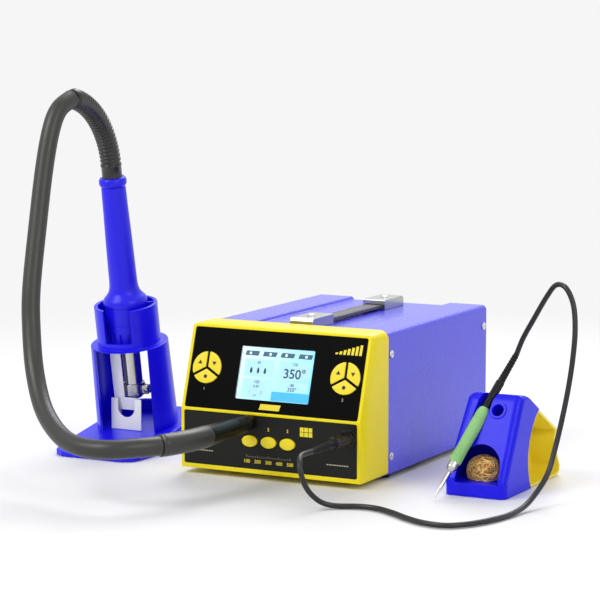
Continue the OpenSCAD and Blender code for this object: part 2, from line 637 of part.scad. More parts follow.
blower_at = [-44, 66];
blower_r = 40;
blower_wall = 2;
blower_z = case_z + 27;
blower_h = 36;
duct_w = 22;
duct_end_y = -24;
impeller_r = 34;
impeller_h = 26;
motor_dia = 34;
shaft_dia = 4;
module blower_housing() set_out() color([0.12, 0.12, 0.13]) {
    difference() {
        union() {
            translate([blower_at.x, blower_at.y, blower_z]) cylinder(r = blower_r, h = blower_h);
            translate([hose_x - duct_w/2, duct_end_y, blower_z + 8]) cube([duct_w, blower_at.y - duct_end_y, blower_h - 8]);
            for (a = [50, 170, 290]) translate([blower_at.x + 32*cos(a), blower_at.y + 32*sin(a), case_z + sheet_t])
                cylinder(d = 9, h = blower_z - case_z - sheet_t + 1);
        }
        translate([blower_at.x, blower_at.y, blower_z + blower_wall]) cylinder(r = blower_r - blower_wall, h = blower_h - 2*blower_wall);
        translate([hose_x - duct_w/2 + blower_wall, duct_end_y + 6, blower_z + 8 + blower_wall])
            cube([duct_w - 2*blower_wall, blower_at.y - duct_end_y - 6, blower_h - 8 - 2*blower_wall]);
        translate([blower_at.x, blower_at.y, blower_z + blower_h - blower_wall - 1]) cylinder(r = 20, h = blower_wall + 2);
        translate([blower_at.x, blower_at.y, blower_z - 1]) cylinder(d = shaft_dia + 2, h = blower_wall + 2);
        translate([hose_x, duct_end_y + 8, hose_z]) rotate([90, 0, 0]) cylinder(d = socket_dia + fit, h = 10);
    }
}
module blower_motor() set_out() color([0.7, 0.7, 0.72]) translate([blower_at.x, blower_at.y, blower_z - 20]) {
    cylinder(d = motor_dia, h = 20);
    cylinder(d = shaft_dia, h = 20 + blower_wall + impeller_h - 6);
}
impeller_blades = 18;
module blower_impeller() set_out() color([0.85, 0.85, 0.86])
    translate([blower_at.x, blower_at.y, blower_z + blower_wall + 2]) difference() {
        union() {
            cylinder(r = impeller_r, h = 2);
            cylinder(d1 = 20, d2 = 12, h = impeller_h - 6);
            for (i = [0:impeller_blades - 1]) rotate(360*i/impeller_blades) translate([22, -0.6, 1.5]) rotate(-35)
                cube([12, 1.2, impeller_h - 2.3]);
            translate([0, 0, impeller_h - 1.5]) difference() {
                cylinder(r = impeller_r, h = 1.5);
                translate([0, 0, -1]) cylinder(r = 21, h = 4);
            }
        }
        translate([0, 0, -1]) cylinder(d = shaft_dia + fit, h = impeller_h);
    }

// Air outlet: a ribbed neck through the panel, with a flange behind it
socket_bore = 7;
duct_end_y_back = -(duct_end_y + bezel_d + 4);
module hose_socket() set_out() color([0.5, 0.5, 0.5]) translate([hose_x, -bezel_d, hose_z]) rotate([90, 0, 0]) difference() {
    union() {
        translate([0, 0, duct_end_y_back]) cylinder(d = socket_dia, h = socket_out - duct_end_y_back);
        translate([0, 0, -panel_t - 3 - fit]) cylinder(d = socket_dia + 2, h = 3);
        for (z = [3, 7]) translate([0, 0, z]) cylinder(d1 = socket_dia + 0.8, d2 = socket_dia, h = 2.4);
    }
    translate([0, 0, duct_end_y_back - 1]) cylinder(d = socket_bore, h = 80);
}

// Black boot over the neck, then the sleeve that bends towards the gun
boot_l = 80;
sleeve_turn = 25;
sleeve_r = 140;
module hose_boot() set_out() color([0.04, 0.04, 0.04]) translate([hose_x, -bezel_d, hose_z]) rotate([90, 0, 0]) difference() {
    union() {
        cylinder(d1 = socket_dia + 4, d2 = sleeve_dia - 1, h = boot_l - 8);
        translate([0, 0, boot_l - 8]) cylinder(d = sleeve_dia - 1, h = 8);
    }
    translate([0, 0, -1]) cylinder(d = socket_dia + 1, h = 14);
}
module hose_sleeve() set_out() color([0.25, 0.25, 0.24]) translate([hose_x - sleeve_r, -bezel_d - boot_l, hose_z])
    rotate([0, 0, -sleeve_turn]) rotate_extrude(angle = sleeve_turn, $fn = 180) translate([sleeve_r, 0]) circle(d = sleeve_dia);

// A cord is swept along its route: one ring at each point of a smooth curve through it
function smooth(p, i, t) = let (a = p[max(i - 1, 0)], b = p[i], c = p[i + 1], d = p[min(i + 2, len(p) - 1)])
    0.5*(2*b + (c - a)*t + (2*a - 5*b + 4*c - d)*t*t + (3*b - a - 3*c + d)*t*t*t);
function curve(p, steps) = concat([for (i = [0:len(p) - 2], k = [0:steps - 1]) smooth(p, i, k/steps)], [p[len(p) - 1]]);
function headings(c) = [for (i = [0:len(c) - 1]) unit(c[min(i + 1, len(c) - 1)] - c[max(i - 1, 0)])];
function carried(h, side, i = 0) = i >= len(h) ? [] :
    let (s = unit(side - (side*h[i])*h[i])) concat([s], carried(h, s, i + 1));
module cord(route, steps, dia, sides, first, last) {
    c = curve(route, steps);
    mid = headings(c);
    h = [for (i = [0:len(c) - 1]) i == 0 ? unit(first) : i == len(c) - 1 ? unit(last) : mid[i]];
    n = carried(h, [0, 0, 1] + [0.01, 0.02, 0]);
    rings = len(c);
    points = [for (i = [0:rings - 1], k = [0:sides - 1])
        c[i] + dia/2*(cos(360*k/sides)*n[i] + sin(360*k/sides)*cross(h[i], n[i]))];
    faces = concat([[for (k = [0:sides - 1]) k]], [[for (k = [sides - 1:-1:0]) (rings - 1)*sides + k]],
        [for (i = [0:rings - 2], k = [0:sides - 1]) [i*sides + k, (i + 1)*sides + k, (i + 1)*sides + (k + 1)%sides, i*sides + (k + 1)%sides]]);
    polyhedron(points, faces, convexity = 6);
}

hose_start = [hose_x - sleeve_r*(1 - cos(sleeve_turn)), -bezel_d - boot_l - sleeve_r*sin(sleeve_turn), hose_z];
hose_start_way = [-sin(sleeve_turn), -cos(sleeve_turn), 0];
hose_route = [[-44, -210, 53], [-64, -225, 52], [-92, -226, 52], [-122, -213, 57], [-155, -190, 74], [-179, -168, 103],
              [-193, -152, 140], [-199, -142, 176], [-204, -122, 236], [-207, -106, 284], [-207, -94, 318], [-206, -82, 336]];

// The gun's frame: origin on the foot's sloped top, +Z up along the gun
foot_front_y = -42;
foot_x = gun_x + 3;
cradle_turn = 11;
gun_y = 50;
gun_z = foot_front_h + (gun_y - foot_front_y)*tan(gun_lean);
module in_gun() translate([gun_x, gun_y, gun_z]) rotate([gun_lean, 0, 0]) children();
module in_cradle() in_gun() rotate(cradle_turn) children();
module turned(profile) rotate_extrude() polygon(profile);

nozzle_low = 27;
lug_turn = -8;
clamp_low = nozzle_low + 2.5;
clamp_h = 13;
tube_low = clamp_low + 3;
barrel_low = 78;
shoulder_low = cradle_h;
shoulder_r = barrel_dia/2 + 1;
handle_low = shoulder_low + 20;
handle_top = 241;
gun_r = barrel_dia/2;
boot_r = 9.7;

module gun_form() {
    difference() {
        turned([[0, barrel_low], [gun_r - 2, barrel_low], [gun_r - 0.6, barrel_low + 0.8], [gun_r, barrel_low + 2.4],
                [gun_r, shoulder_low], [shoulder_r, shoulder_low], [shoulder_r, shoulder_low + 4], [shoulder_r - 1, shoulder_low + 6],
                [handle_dia/2 + 3, shoulder_low + 15], [handle_dia/2 + 1, handle_low], [handle_dia/2 + 0.6, handle_low + 20],
                [handle_dia/2 - 0.6, handle_top], [0, handle_top]]);
        turned([[0, barrel_low + 3], [gun_r - gun_wall, barrel_low + 3], [gun_r - gun_wall, shoulder_low + 3],
                [handle_dia/2 + 0.4, shoulder_low + 14], [handle_dia/2 + 1 - gun_wall, handle_low], [handle_dia/2 - gun_wall, handle_low + 30],
                [handle_dia/2 - 0.6 - gun_wall, handle_top - 6], [0, handle_top - 6]]);
        translate([0, 0, barrel_low - 1]) cylinder(d = tube_dia + fit, h = 6);
        translate([0, 0, handle_top - 8]) cylinder(r = boot_r + fit/2, h = 10);
        for (a = [-23, 0, 23, 157, 180, 203]) rotate(a) translate([-1.4, -gun_r - 1, barrel_low + 9]) cube([2.8, 6, 10]);
        translate([0, 0, barrel_low + 27]) difference() {
            cylinder(r = gun_r + 1, h = 0.8);
            translate([0, 0, -1]) cylinder(r = gun_r - 0.5, h = 3);
        }
    }
}
module gun_front_shell() set_out() color([0.16, 0.11, 0.85]) in_cradle() difference() {
    gun_form();
    translate([-60, 0, barrel_low - 5]) cube([120, 60, 200]);
}
module gun_rear_shell() set_out() color([0.16, 0.11, 0.85]) in_cradle() difference() {
    gun_form();
    translate([-60, -60, barrel_low - 5]) cube([120, 60, 200]);
}
collar_h = 9;
module gun_collar() set_out() color([0.16, 0.11, 0.85]) in_gun() difference() {
    turned([[0, handle_top], [handle_dia/2 - 0.4, handle_top], [handle_dia/2 + 0.9, handle_top + 2.5],
            [handle_dia/2 + 0.9, handle_top + 6.5], [handle_dia/2 - 0.6, handle_top + collar_h], [0, handle_top + collar_h]]);
    translate([0, 0, handle_top - 1]) cylinder(r = boot_r + fit/2, h = collar_h + 2);
}

// Corrugated boot: a smooth neck in the handle, then ribs along an arc over the top
boot_neck_top = handle_top + collar_h + 13;
bend_r = 80;
bend_turn = 72;
rib_count = 24;
boot_sides = 16;
rib_steps = [[0, -1.3], [0.3, -1.3], [0.45, 0], [0.85, 0]];
module bend_boot() set_out() color([0.1, 0.1, 0.1]) in_gun() {
    translate([0, 0, handle_top - 5.8]) cylinder(r = boot_r, h = boot_neck_top - handle_top + 5.9);
    rings = concat([for (i = [0:rib_count - 1], p = rib_steps) [(i + p[0])/rib_count*bend_turn, boot_r - 0.2 + p[1]]],
                   [[bend_turn, boot_r - 1.5]]);
    points = [for (g = rings, k = [0:boot_sides - 1]) let (a = 360*k/boot_sides)
        [-g[1]*sin(a), (bend_r + g[1]*cos(a))*cos(g[0]) - bend_r, boot_neck_top + (bend_r + g[1]*cos(a))*sin(g[0])]];
    last = len(rings) - 1;
    faces = concat([[for (k = [0:boot_sides - 1]) k]], [[for (k = [boot_sides - 1:-1:0]) last*boot_sides + k]],
        [for (i = [0:last - 1], k = [0:boot_sides - 1])
            [i*boot_sides + k, (i + 1)*boot_sides + k, (i + 1)*boot_sides + (k + 1)%boot_sides, i*boot_sides + (k + 1)%boot_sides]]);
    polyhedron(points, faces, convexity = 6);
}

module heater_tube() set_out() color([0.8, 0.8, 0.8]) in_gun() difference() {
    translate([0, 0, tube_low]) cylinder(d = tube_dia, h = barrel_low + 14 - tube_low);
    translate([0, 0, tube_low - 1]) cylinder(d = tube_dia - 2*tube_wall, h = 100);
}
core_dia = 11;
module heater_core() set_out() color([0.9, 0.88, 0.82]) in_gun() {
    difference() {
        translate([0, 0, barrel_low - 22]) cylinder(d = core_dia, h = 60);
        for (a = [0:90:270]) rotate(a) translate([3, 0, barrel_low - 23]) cylinder(d = 3, h = 62);
    }
    translate([0, 0, barrel_low + 14]) difference() {
        cylinder(r = gun_r - gun_wall - fit, h = 3);
        for (a = [45:90:315]) rotate(a) translate([12.5, 0, -1]) cylinder(d = 7, h = 5);
    }
}
module nozzle() set_out() color([0.75, 0.75, 0.76]) in_cradle() difference() {
    union() {
        translate([0, 0, clamp_low]) cylinder(d = clamp_dia, h = clamp_h);
        translate([0, 0, nozzle_low]) cylinder(d1 = 14.5, d2 = 16, h = 3);
        rotate(lug_turn) translate([clamp_dia/2 - 1.5, -3.5, clamp_low + 2]) cube([7, 7, 9]);
    }
    translate([0, 0, clamp_low + 2.5]) cylinder(d = tube_dia + fit, h = clamp_h);
    translate([0, 0, nozzle_low - 1]) cylinder(d = 11, h = 20);
    rotate(lug_turn) translate([clamp_dia/2 - 4, -0.6, clamp_low + 1]) cube([12, 1.2, 14]);
    rotate(lug_turn) translate([clamp_dia/2 + 2.6, -10, clamp_low + 6.5]) rotate([-90, 0, 0]) cylinder(d = 2.6, h = 20);
}
module nozzle_screw() set_out() color([0.7, 0.7, 0.72]) in_cradle() rotate(lug_turn)
    translate([clamp_dia/2 + 2.6, -3.5, clamp_low + 6.5]) rotate([-90, 0, 0]) {
        cylinder(d = 2.5, h = 9);
        translate([0, 0, -2.2]) difference() {
            cylinder(d = 5, h = 2.2);
            translate([-3, -0.4, -0.4]) cube([6, 0.8, 1.2]);
        }
    }

// Gun stand: a wedge foot and a cradle that opens to the front
foot_back_y = foot_front_y + foot_l;
function foot_rise(y) = foot_front_h + (y - foot_front_y)*tan(gun_lean);
module foot_plan(inset) {
    hw = foot_w/2 - inset;
    lo = foot_front_y + inset;
    hi = foot_back_y - inset;
    polygon([[-hw + 13, lo], [hw - 13, lo], [hw - 3, lo + 6], [hw, lo + 16], [hw, hi - 12], [hw - 12, hi],
             [-hw + 12, hi], [-hw, hi - 12], [-hw, lo + 16], [-hw + 3, lo + 6]]);
}
module foot_wedge(inset) intersection() {
    translate([foot_x, 0, -1]) linear_extrude(60) foot_plan(inset);
    along_x(foot_x - foot_w, foot_x + foot_w) polygon([[foot_front_y - 1, inset > 0 ? -1 : 0], [foot_back_y + 1, inset > 0 ? -1 : 0],
        [foot_back_y + 1, foot_rise(foot_back_y + 1) - inset], [foot_front_y - 1, foot_rise(foot_front_y - 1) - inset]]);
}
module cradle_foot() set_out() color([0.16, 0.11, 0.85]) difference() {
    foot_wedge(0);
    foot_wedge(cradle_wall);
}
ledge_t = 3.5;
rear_w = 24;
module cradle_shell() set_out() color([0.16, 0.11, 0.85]) in_cradle() {
    r = shell_dia/2;
    cr = collar_dia/2;
    difference() {
        turned([[r + 2 - cradle_wall, 0], [r + 2, 0], [r, shell_h], [cr, shell_h], [cr, cradle_h], [cr - cradle_wall, cradle_h],
                [cr - cradle_wall, shell_h - ledge_t], [r - cradle_wall, shell_h - ledge_t]]);
        translate([-slot_w/2, -60, shell_h + 6]) cube([slot_w, 60, 60]);
        translate([-window_w/2, -60, -1]) cube([window_w, 60, shell_h + 0.5]);
        translate([-rear_w/2, 10, 12]) cube([rear_w, 60, shell_h - ledge_t - 18]);
    }
    for (a = [20, 70, 110, 160]) rotate(a) translate([gun_r + 0.4, -1.4, shell_h + 8])
        cube([cr - cradle_wall/2 - gun_r - 0.4, 2.8, cradle_h - shell_h - 8.3]);
}

// Stainless guard: a notched plate inside the window and a strip beside the tube
guard_y = 28;
guard_w = 34;
guard_h = 31;
guard_t = 1;
strip_x = -15.2;
strip_y = -14;
module heat_shield() set_out() color([0.85, 0.85, 0.84]) {
    translate([gun_x, 0, foot_rise(guard_y)]) {
        along_y(guard_y, guard_y + guard_t) difference() {
            translate([-guard_w/2, 0.4]) square([guard_w, guard_h - 0.4]);
            translate([0, 13 + 9]) circle(d = 19);
            translate([-9.5, 22]) square([19, 20]);
        }
    }
    in_gun() {
        translate([1 - guard_w/2, -22, 0.1]) cube([guard_w/2 + 7, 14, guard_t]);
        difference() {
            translate([strip_x, strip_y, 0.5]) linear_extrude(barrel_low - 1.4)
                polygon([[0, 0], [29, 0], [29, guard_t], [guard_t, guard_t], [guard_t, 9], [0, 9]]);
            translate([strip_x + 11.8, strip_y - 1, 30.5]) cube([20, 3, 60]);
            translate([strip_x + 4, strip_y - 1, -1]) cube([30, 3, 19]);
        }
    }
}

// The iron's socket and plug
latch_y = 7;
module iron_socket() set_out() color([0.12, 0.12, 0.12]) translate([plug_x, -bezel_d, plug_z]) rotate([90, 0, 0]) difference() {
    union() {
        cylinder(d = plug_dia + 2, h = 1.5);
        translate([0, 0, -18]) cylinder(d = plug_dia - 0.2, h = 18);
        rotate(30) translate([0, 0, -panel_t - 3 - fit]) cylinder(d = plug_dia + 1, h = 3, $fn = 6);
    }
    translate([0, 0, -14]) cylinder(d = plug_dia - 2.8, h = 20);
}
module iron_plug() set_out() color([0.05, 0.05, 0.05]) translate([plug_x, -bezel_d, plug_z]) rotate([90, 0, 0]) {
    translate([0, 0, -11]) cylinder(d = plug_dia - 3, h = 13);
    translate([0, 0, 1.6]) cylinder(d = plug_dia, h = 4);
    translate([0, 0, 5.5]) cylinder(d = plug_dia - 2, h = 24);
    translate([0, 0, 29]) cylinder(d = plug_dia - 0.6, h = 5);
    for (a = [0:30:330]) rotate(a) translate([plug_dia/2 - 1.3, -0.6, 8]) cube([0.8, 1.2, 18]);
    translate([-2.5, plug_dia/2 - 2, latch_y]) cube([5, 4.2, 6]);
    translate([0, 0, 34]) cylinder(d1 = 9, d2 = 7, h = 4);
    translate([0, 0, 38]) cylinder(d1 = 7, d2 = cable_dia + 1, h = 34);
}

cable_start = [plug_x, -bezel_d - 72, plug_z];
cable_route = [[80, -144, 46], [84, -155, 41], [87, -158, 33], [89, -155, 23], [92, -149, 14], [98, -141, 6], [108, -134, 2.6],
               [128, -126, 2.5], [146, -127, 2.5], [165, -137, 2.5], [184, -150, 2.5], [204, -160, 2.5], [225, -161, 2.5],
               [240, -146, 2.5], [250, -124, 2.5], [256, -96, 2.5], [258, -68, 5], [261, -46, 15], [264, -31, 28], [266, -21, 47],
               [269, -13, 72], [272, -7, 98], [274, -2, 124], [274, 3, 150], [270, 8, 172], [261, 12, 186], [250, 17, 187],
               [238, 25, 175], [222, 33, 152], [210, 39, 134]];

// The iron's frame: origin at the tip, +Z up along the iron
tip_at = [168.6, -63.5, 0.5];
iron_lean = 43;
iron_turn = 71.9;
module in_iron() translate(tip_at) rotate([0, iron_lean, iron_turn]) children();
nose_low = 31;
grip_low = 40;
tail_low = grip_low + grip_l;
tail_l = 62;
tip_r = 0.3;
cartridge_r = cartridge_dia/2;
iron_way = [sin(iron_lean)*cos(iron_turn), sin(iron_lean)*sin(iron_turn), cos(iron_lean)];
module iron_cartridge() set_out() color([0.8, 0.8, 0.8]) in_iron()
    turned([[0, 0], [tip_r, 0], [cartridge_r - 0.5, 11], [cartridge_r - 0.2, 12], [cartridge_r, 16], [cartridge_r, 70], [0, 70]]);
module iron_nose() set_out() color([0.72, 0.72, 0.74]) in_iron() difference() {
    turned([[0, nose_low], [cartridge_r + 1, nose_low], [grip_dia/2 - 1.4, nose_low + 4], [grip_dia/2 - 1.4, grip_low + 8], [0, grip_low + 8]]);
    translate([0, 0, nose_low - 1]) cylinder(r = cartridge_r + 0.08, h = 30);
}
module iron_grip() set_out() color([0.55, 0.83, 0.5]) in_iron() difference() {
    turned([[0, grip_low], [grip_dia/2 - 1.2, grip_low], [grip_dia/2 - 0.2, grip_low + 3], [grip_dia/2 - 0.5, grip_low + 20],
            [grip_dia/2, grip_low + 44], [grip_dia/2 - 0.1, tail_low - 5], [grip_dia/2 - 1.8, tail_low], [0, tail_low]]);
    translate([0, 0, grip_low - 1]) cylinder(r = grip_dia/2 - 1.35, h = 9.1);
    translate([0, 0, grip_low]) cylinder(r = cartridge_r + 0.08, h = 31);
    translate([0, 0, tail_low - 16]) cylinder(d = tail_dia - 0.9, h = 20);
}
module iron_tail() set_out() color([0.05, 0.05, 0.05]) in_iron() {
    translate([0, 0, tail_low - 15.9]) cylinder(d = tail_dia - 1, h = 16.5);
    turned([[0, tail_low + 0.05], [tail_dia/2, tail_low + 0.05], [tail_dia/2, tail_low + 30], [tail_dia/2 - 0.5, tail_low + 31],
            [cable_dia/2 + 0.4, tail_low + tail_l], [0, tail_low + tail_l]]);
}
tail_end = tip_at + (tail_low + tail_l)*iron_way;

module air_hose() set_out() color([0.22, 0.22, 0.21])
    cord(concat([hose_start], hose_route, [boot_end]), 2, hose_dia, 12, hose_start_way, -boot_end_way);
boot_end_turn = gun_lean + bend_turn;
boot_end = [gun_x, gun_y - bend_r*cos(gun_lean) + bend_r*cos(boot_end_turn) - boot_neck_top*sin(gun_lean),
            gun_z - bend_r*sin(gun_lean) + bend_r*sin(boot_end_turn) + boot_neck_top*cos(gun_lean)];
boot_end_way = [0, -sin(boot_end_turn), cos(boot_end_turn)];
module iron_cable() set_out() color([0.12, 0.12, 0.12])
    cord(concat([cable_start], cable_route, [tail_end]), 2, cable_dia, 8, [0, -1, 0], -iron_way);

// Iron stand: a leaning moulded shell with a wool chamber, a holder bore and an open groove
base_h = 16;
face_lean = atan(36/(stand_h - 5 - base_h));
edge_r = 7;
side_draft = 7;
back_r = 49;
back_mid = [stand_front_y + 102.3, 26.6];
// A corner of the given angle with its tip rounded, between +X and a line turned from it
module round_corner(angle, r) {
    c = r/tan(angle/2);
    far = 2*stand_h;
    polygon([[c, 0], [far, 0], [far, far], [far*cos(angle), far*sin(angle)], [c*cos(angle), c*sin(angle)], [c, r]]);
    translate([c, r]) circle(r);
}
module stand_form(inset) {
    f = stand_front_y;
    h = stand_h;
    r = edge_r - inset/2;
    half = stand_w/2 - inset;
    lean_in = atan(side_draft/norm([h, 36]));
    corner_turn = atan(tan(face_lean)*sin(lean_in));
    intersection() {
        along_x(stand_x - half, stand_x + half) difference() {
            polygon([[f + inset, inset > 0 ? -1 : 0], [f + inset, base_h], [f + 36 + 0.9*inset, h - 5 - 0.5*inset], [f + 42 + 0.4*inset, h - inset],
                [f + 50 - 0.2*inset, h - 1 - inset], [f + 79 - 2*inset, h - 17.5], [f + 79, 0]]);
            translate(back_mid) circle(r = back_r + inset, $fn = 160);
        }
        translate([stand_x, stand_front_y + inset, -2]) linear_extrude(2*h) {
            translate([-half + r, 0]) square([2*(half - r), 90]);
            translate([-half, r]) square([2*half, 90]);
            for (s = [-1, 1]) translate([s*(half - r), r]) circle(r);
        }
        translate([stand_x + half, f + inset, base_h]) rotate([-face_lean, 0, 0]) mirror([1, 0, 0])
            translate([0, 0, -h]) linear_extrude(3*h) round_corner(90, r);
        translate([stand_x - half, f + inset, base_h]) rotate([-face_lean, 0, 0]) rotate([0, lean_in, 0])
            translate([0, 0, -h]) linear_extrude(3*h) round_corner(90 + corner_turn, r);
        along_y(f - 1, f + 90) {
            translate([stand_x - half, -1]) square([2*half, h - 7]);
            translate([stand_x - half + side_draft + 7, 0]) square([2*half - side_draft - 14, h + 1]);
            for (x = [stand_x - half + side_draft + 7, stand_x + half - 7]) translate([x, h - 8 - inset]) circle(r = 8);
        }
    }
}
arch_low = 12;
arch_off = 1.6;
arch_top = 45;
holder_at = [stand_x + 9, stand_front_y + 31.5, base_h + 31.5/tan(face_lean)];
shelf_z = 9.4;
module in_holder() translate(holder_at) rotate([90 - face_lean, 0, 0]) children();
module iron_stand_body() set_out() color([0.16, 0.11, 0.85]) difference() {
    union() {
        difference() {
            stand_form(0);
            stand_form(stand_wall);
        }
        in_holder() translate([0, 0, -22]) cylinder(d = holder_dia + 5, h = 23.2);
        intersection() {
            stand_form(0.5);
            in_iron() translate([-8, -grip_dia/2 - 2.6, 80]) cube([8 + grip_dia/2 + 2.6, grip_dia + 5.2, 80]);
        }
        translate([stand_x - stand_w/2 + 1.5, stand_front_y + 1.5, shelf_z]) cube([stand_w - 3, 46, stand_wall]);
    }
    along_y(stand_front_y - 5, stand_front_y + 30) translate([stand_x + arch_off, arch_low]) {
        translate([-arch_w/2, 0]) square([arch_w, arch_top - arch_low - arch_w/2]);
        intersection() {
            translate([0, arch_top - arch_low - arch_w/2]) circle(d = arch_w);
            translate([-arch_w, 0]) square(2*arch_w);
        }
    }
    in_holder() translate([0, 0, -23]) cylinder(d = holder_dia, h = 30);
    in_iron() translate([0, 0, 60]) cylinder(d = grip_dia + 0.8, h = 120);
    in_iron() translate([-60, -grip_dia/2 - 0.4, 60]) cube([60, grip_dia + 0.8, 120]);
}
bracket_web = 3;
// Side of the yellow bracket behind the shell; inset by the rim's width it is the recess
module bracket_side(inset) intersection() {
    polygon([[f_back(0), inset], [f_back(0), 80 - inset], [f_back(44), 70 - 1.2*inset], [f_back(91) - 1.4*inset, 44 - 0.4*inset],
        [f_back(86) - 1.2*inset, 37], [f_back(87.5) - inset, 28], [f_back(99) - 1.1*inset, 9], [f_back(98) - inset, 3 + 0.5*inset], [f_back(92) - inset, inset]]);
    translate(back_mid) circle(r = back_r - 0.2 - inset, $fn = 160);
}
function f_back(y) = stand_front_y + 34 + y;
module iron_stand_bracket() set_out() color([0.93, 0.82, 0.1]) difference() {
    along_x(stand_x - stand_w/2 + 4, stand_x + stand_w/2 - 1) bracket_side(0);
    along_x(stand_x + bracket_web/2, stand_x + stand_w/2 + 1) bracket_side(2.5);
    along_x(stand_x - stand_w/2, stand_x - bracket_web/2) bracket_side(2.5);
    along_x(stand_x - stand_w/2, stand_x + stand_w/2 + 1) translate([f_back(25), 48]) {
        translate([0, -6]) circle(d = 9);
        translate([0, 6]) circle(d = 9);
        translate([-4.5, -6]) square([9, 12]);
    }
}
wool_r = 16.5;
module brass_wool() set_out() color([0.8, 0.58, 0.2]) intersection() {
    translate([stand_x - 1, stand_front_y + 25, shelf_z + stand_wall + 7]) sphere(r = wool_r);
    translate([stand_x - 40, stand_front_y - 5, shelf_z + stand_wall + 0.1]) cube([80, 60, 60]);
}

case_cover();
chassis_tray();
rear_panel();
front_bezel();
upper_panel();
lower_panel();
display_window();
display_module();
key_board();
air_up_key();
air_down_key();
air_set_key();
heat_up_key();
heat_down_key();
heat_set_key();
channel_1_button();
channel_2_button();
channel_3_button();
rubber_feet();
case_screws();
handle_front_bracket();
handle_rear_bracket();
handle_strap();
handle_screws();
mains_inlet();
fuse_holder();
rocker_frame();
power_rocker();
fan_frame();
fan_rotor();
main_board();
transformer();
blower_housing();
blower_impeller();
blower_motor();
hose_socket();
hose_boot();
hose_sleeve();
air_hose();
bend_boot();
gun_front_shell();
gun_rear_shell();
gun_collar();
heater_tube();
heater_core();
nozzle();
nozzle_screw();
cradle_foot();
cradle_shell();
heat_shield();
iron_socket();
iron_plug();
iron_cable();
iron_tail();
iron_grip();
iron_nose();
iron_cartridge();
iron_stand_body();
iron_stand_bracket();
brass_wool();
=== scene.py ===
import math

import bpy
import bmesh
import numpy as np
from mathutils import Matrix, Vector


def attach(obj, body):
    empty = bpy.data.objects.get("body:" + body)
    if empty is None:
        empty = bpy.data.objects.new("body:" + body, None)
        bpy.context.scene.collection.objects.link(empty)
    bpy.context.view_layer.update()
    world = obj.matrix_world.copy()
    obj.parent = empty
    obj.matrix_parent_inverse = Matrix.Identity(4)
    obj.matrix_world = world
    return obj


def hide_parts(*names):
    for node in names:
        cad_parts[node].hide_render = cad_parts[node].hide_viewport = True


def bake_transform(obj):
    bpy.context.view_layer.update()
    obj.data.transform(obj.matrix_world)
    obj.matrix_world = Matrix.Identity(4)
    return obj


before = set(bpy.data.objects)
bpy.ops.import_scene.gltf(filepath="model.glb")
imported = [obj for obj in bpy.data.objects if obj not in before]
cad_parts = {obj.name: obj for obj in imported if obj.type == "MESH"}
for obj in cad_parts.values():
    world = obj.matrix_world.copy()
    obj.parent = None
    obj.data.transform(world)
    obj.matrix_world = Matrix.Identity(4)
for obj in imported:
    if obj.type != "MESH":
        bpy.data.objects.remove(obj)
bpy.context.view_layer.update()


# CAMERA, FLOOR AND LAMPS
# A bench set stands on a plain pale table, seen from a little above and to its
# right.  Places are drawn in millimetres from the middle of the case's front
# edge, at table height, and moved into the shared frame.
drawing_origin = np.array([11.25, -79.75, 0.0])


def placed(points):
    """Drawn points in millimetres, moved by the drawing's origin and turned into metres."""
    return (np.asarray(points, float) + drawing_origin) / 1000


def at(x, y, z):
    """One drawn place in the shared frame."""
    return tuple(placed((x, y, z)))


def aimed(name, data, place, target):
    """A camera or a lamp at its place, turned to look at the target with its top upwards."""
    thing = bpy.data.objects.new(name, data)
    bpy.context.scene.collection.objects.link(thing)
    thing.location = place
    thing.rotation_euler = (Vector(target) - thing.location).to_track_quat("-Z", "Y").to_euler()
    return thing


camera_data = bpy.data.cameras.new("camera")
camera_data.lens, camera_data.sensor_width = 149.03, 36
camera_data.clip_start, camera_data.clip_end = 0.1, 300
bpy.context.scene.camera = aimed("camera", camera_data, at(1062.3, -2019.6, 453.0), at(-28.36, 60.0, 152.31))
bpy.context.scene.view_settings.view_transform = "Standard"
for lamp_name, lamp_place, lamp_size, lamp_watts in (
        ("key_lamp", (-1.3, -2.1, 2.3), 1.5, 42.0),
        ("side_lamp", (2.2, -1.2, 1.6), 1.2, 16.0),
        ("back_lamp", (-0.4, 1.9, 2.2), 1.6, 44.0)):
    lamp_data = bpy.data.lights.new(lamp_name, "AREA")
    lamp_data.size, lamp_data.energy = lamp_size, lamp_watts
    aimed(lamp_name, lamp_data, lamp_place, (0, 0, 0.12))


def light_value(*display):
    """Display values from 0 to 1 turned into light values: the part above the toe is raised to 2.4."""
    c = np.array(display, float)
    return (*np.where(c <= 0.04045, c / 12.92, ((c + 0.055) / 1.055) ** 2.4), 1.0)


def shaded(name, values):
    """A new material, its node tree and its shader, with the shader's plain values set by name."""
    material = bpy.data.materials.new(name)
    material.use_nodes = True
    shader = material.node_tree.nodes["Principled BSDF"]
    for socket, value in values.items():
        shader.inputs[socket].default_value = value
    return material, material.node_tree, shader


def add_node(tree, kind, inputs=(), **settings):
    """A shader node with its settings; its inputs, in order or by name, are numbers or sockets to link."""
    made = tree.nodes.new("ShaderNode" + kind)
    for setting, value in settings.items():
        setattr(made, setting, value)
    for place, value in inputs.items() if isinstance(inputs, dict) else enumerate(inputs):
        if isinstance(value, bpy.types.NodeSocket):
            tree.links.new(value, made.inputs[place])
        else:
            made.inputs[place].default_value = value
    return made


def maths(tree, kind, *inputs):
    """The result of one step of arithmetic in a node tree."""
    return add_node(tree, "Math", inputs, operation=kind).outputs[0]


def seen_directly(tree):
    """1 for rays that see a surface from the camera, in a reflection or through glass, else 0."""
    rays = add_node(tree, "LightPath").outputs
    seen = maths(tree, "MAXIMUM", rays["Is Camera Ray"], rays["Is Glossy Ray"])
    return maths(tree, "MAXIMUM", seen, rays["Is Transmission Ray"])


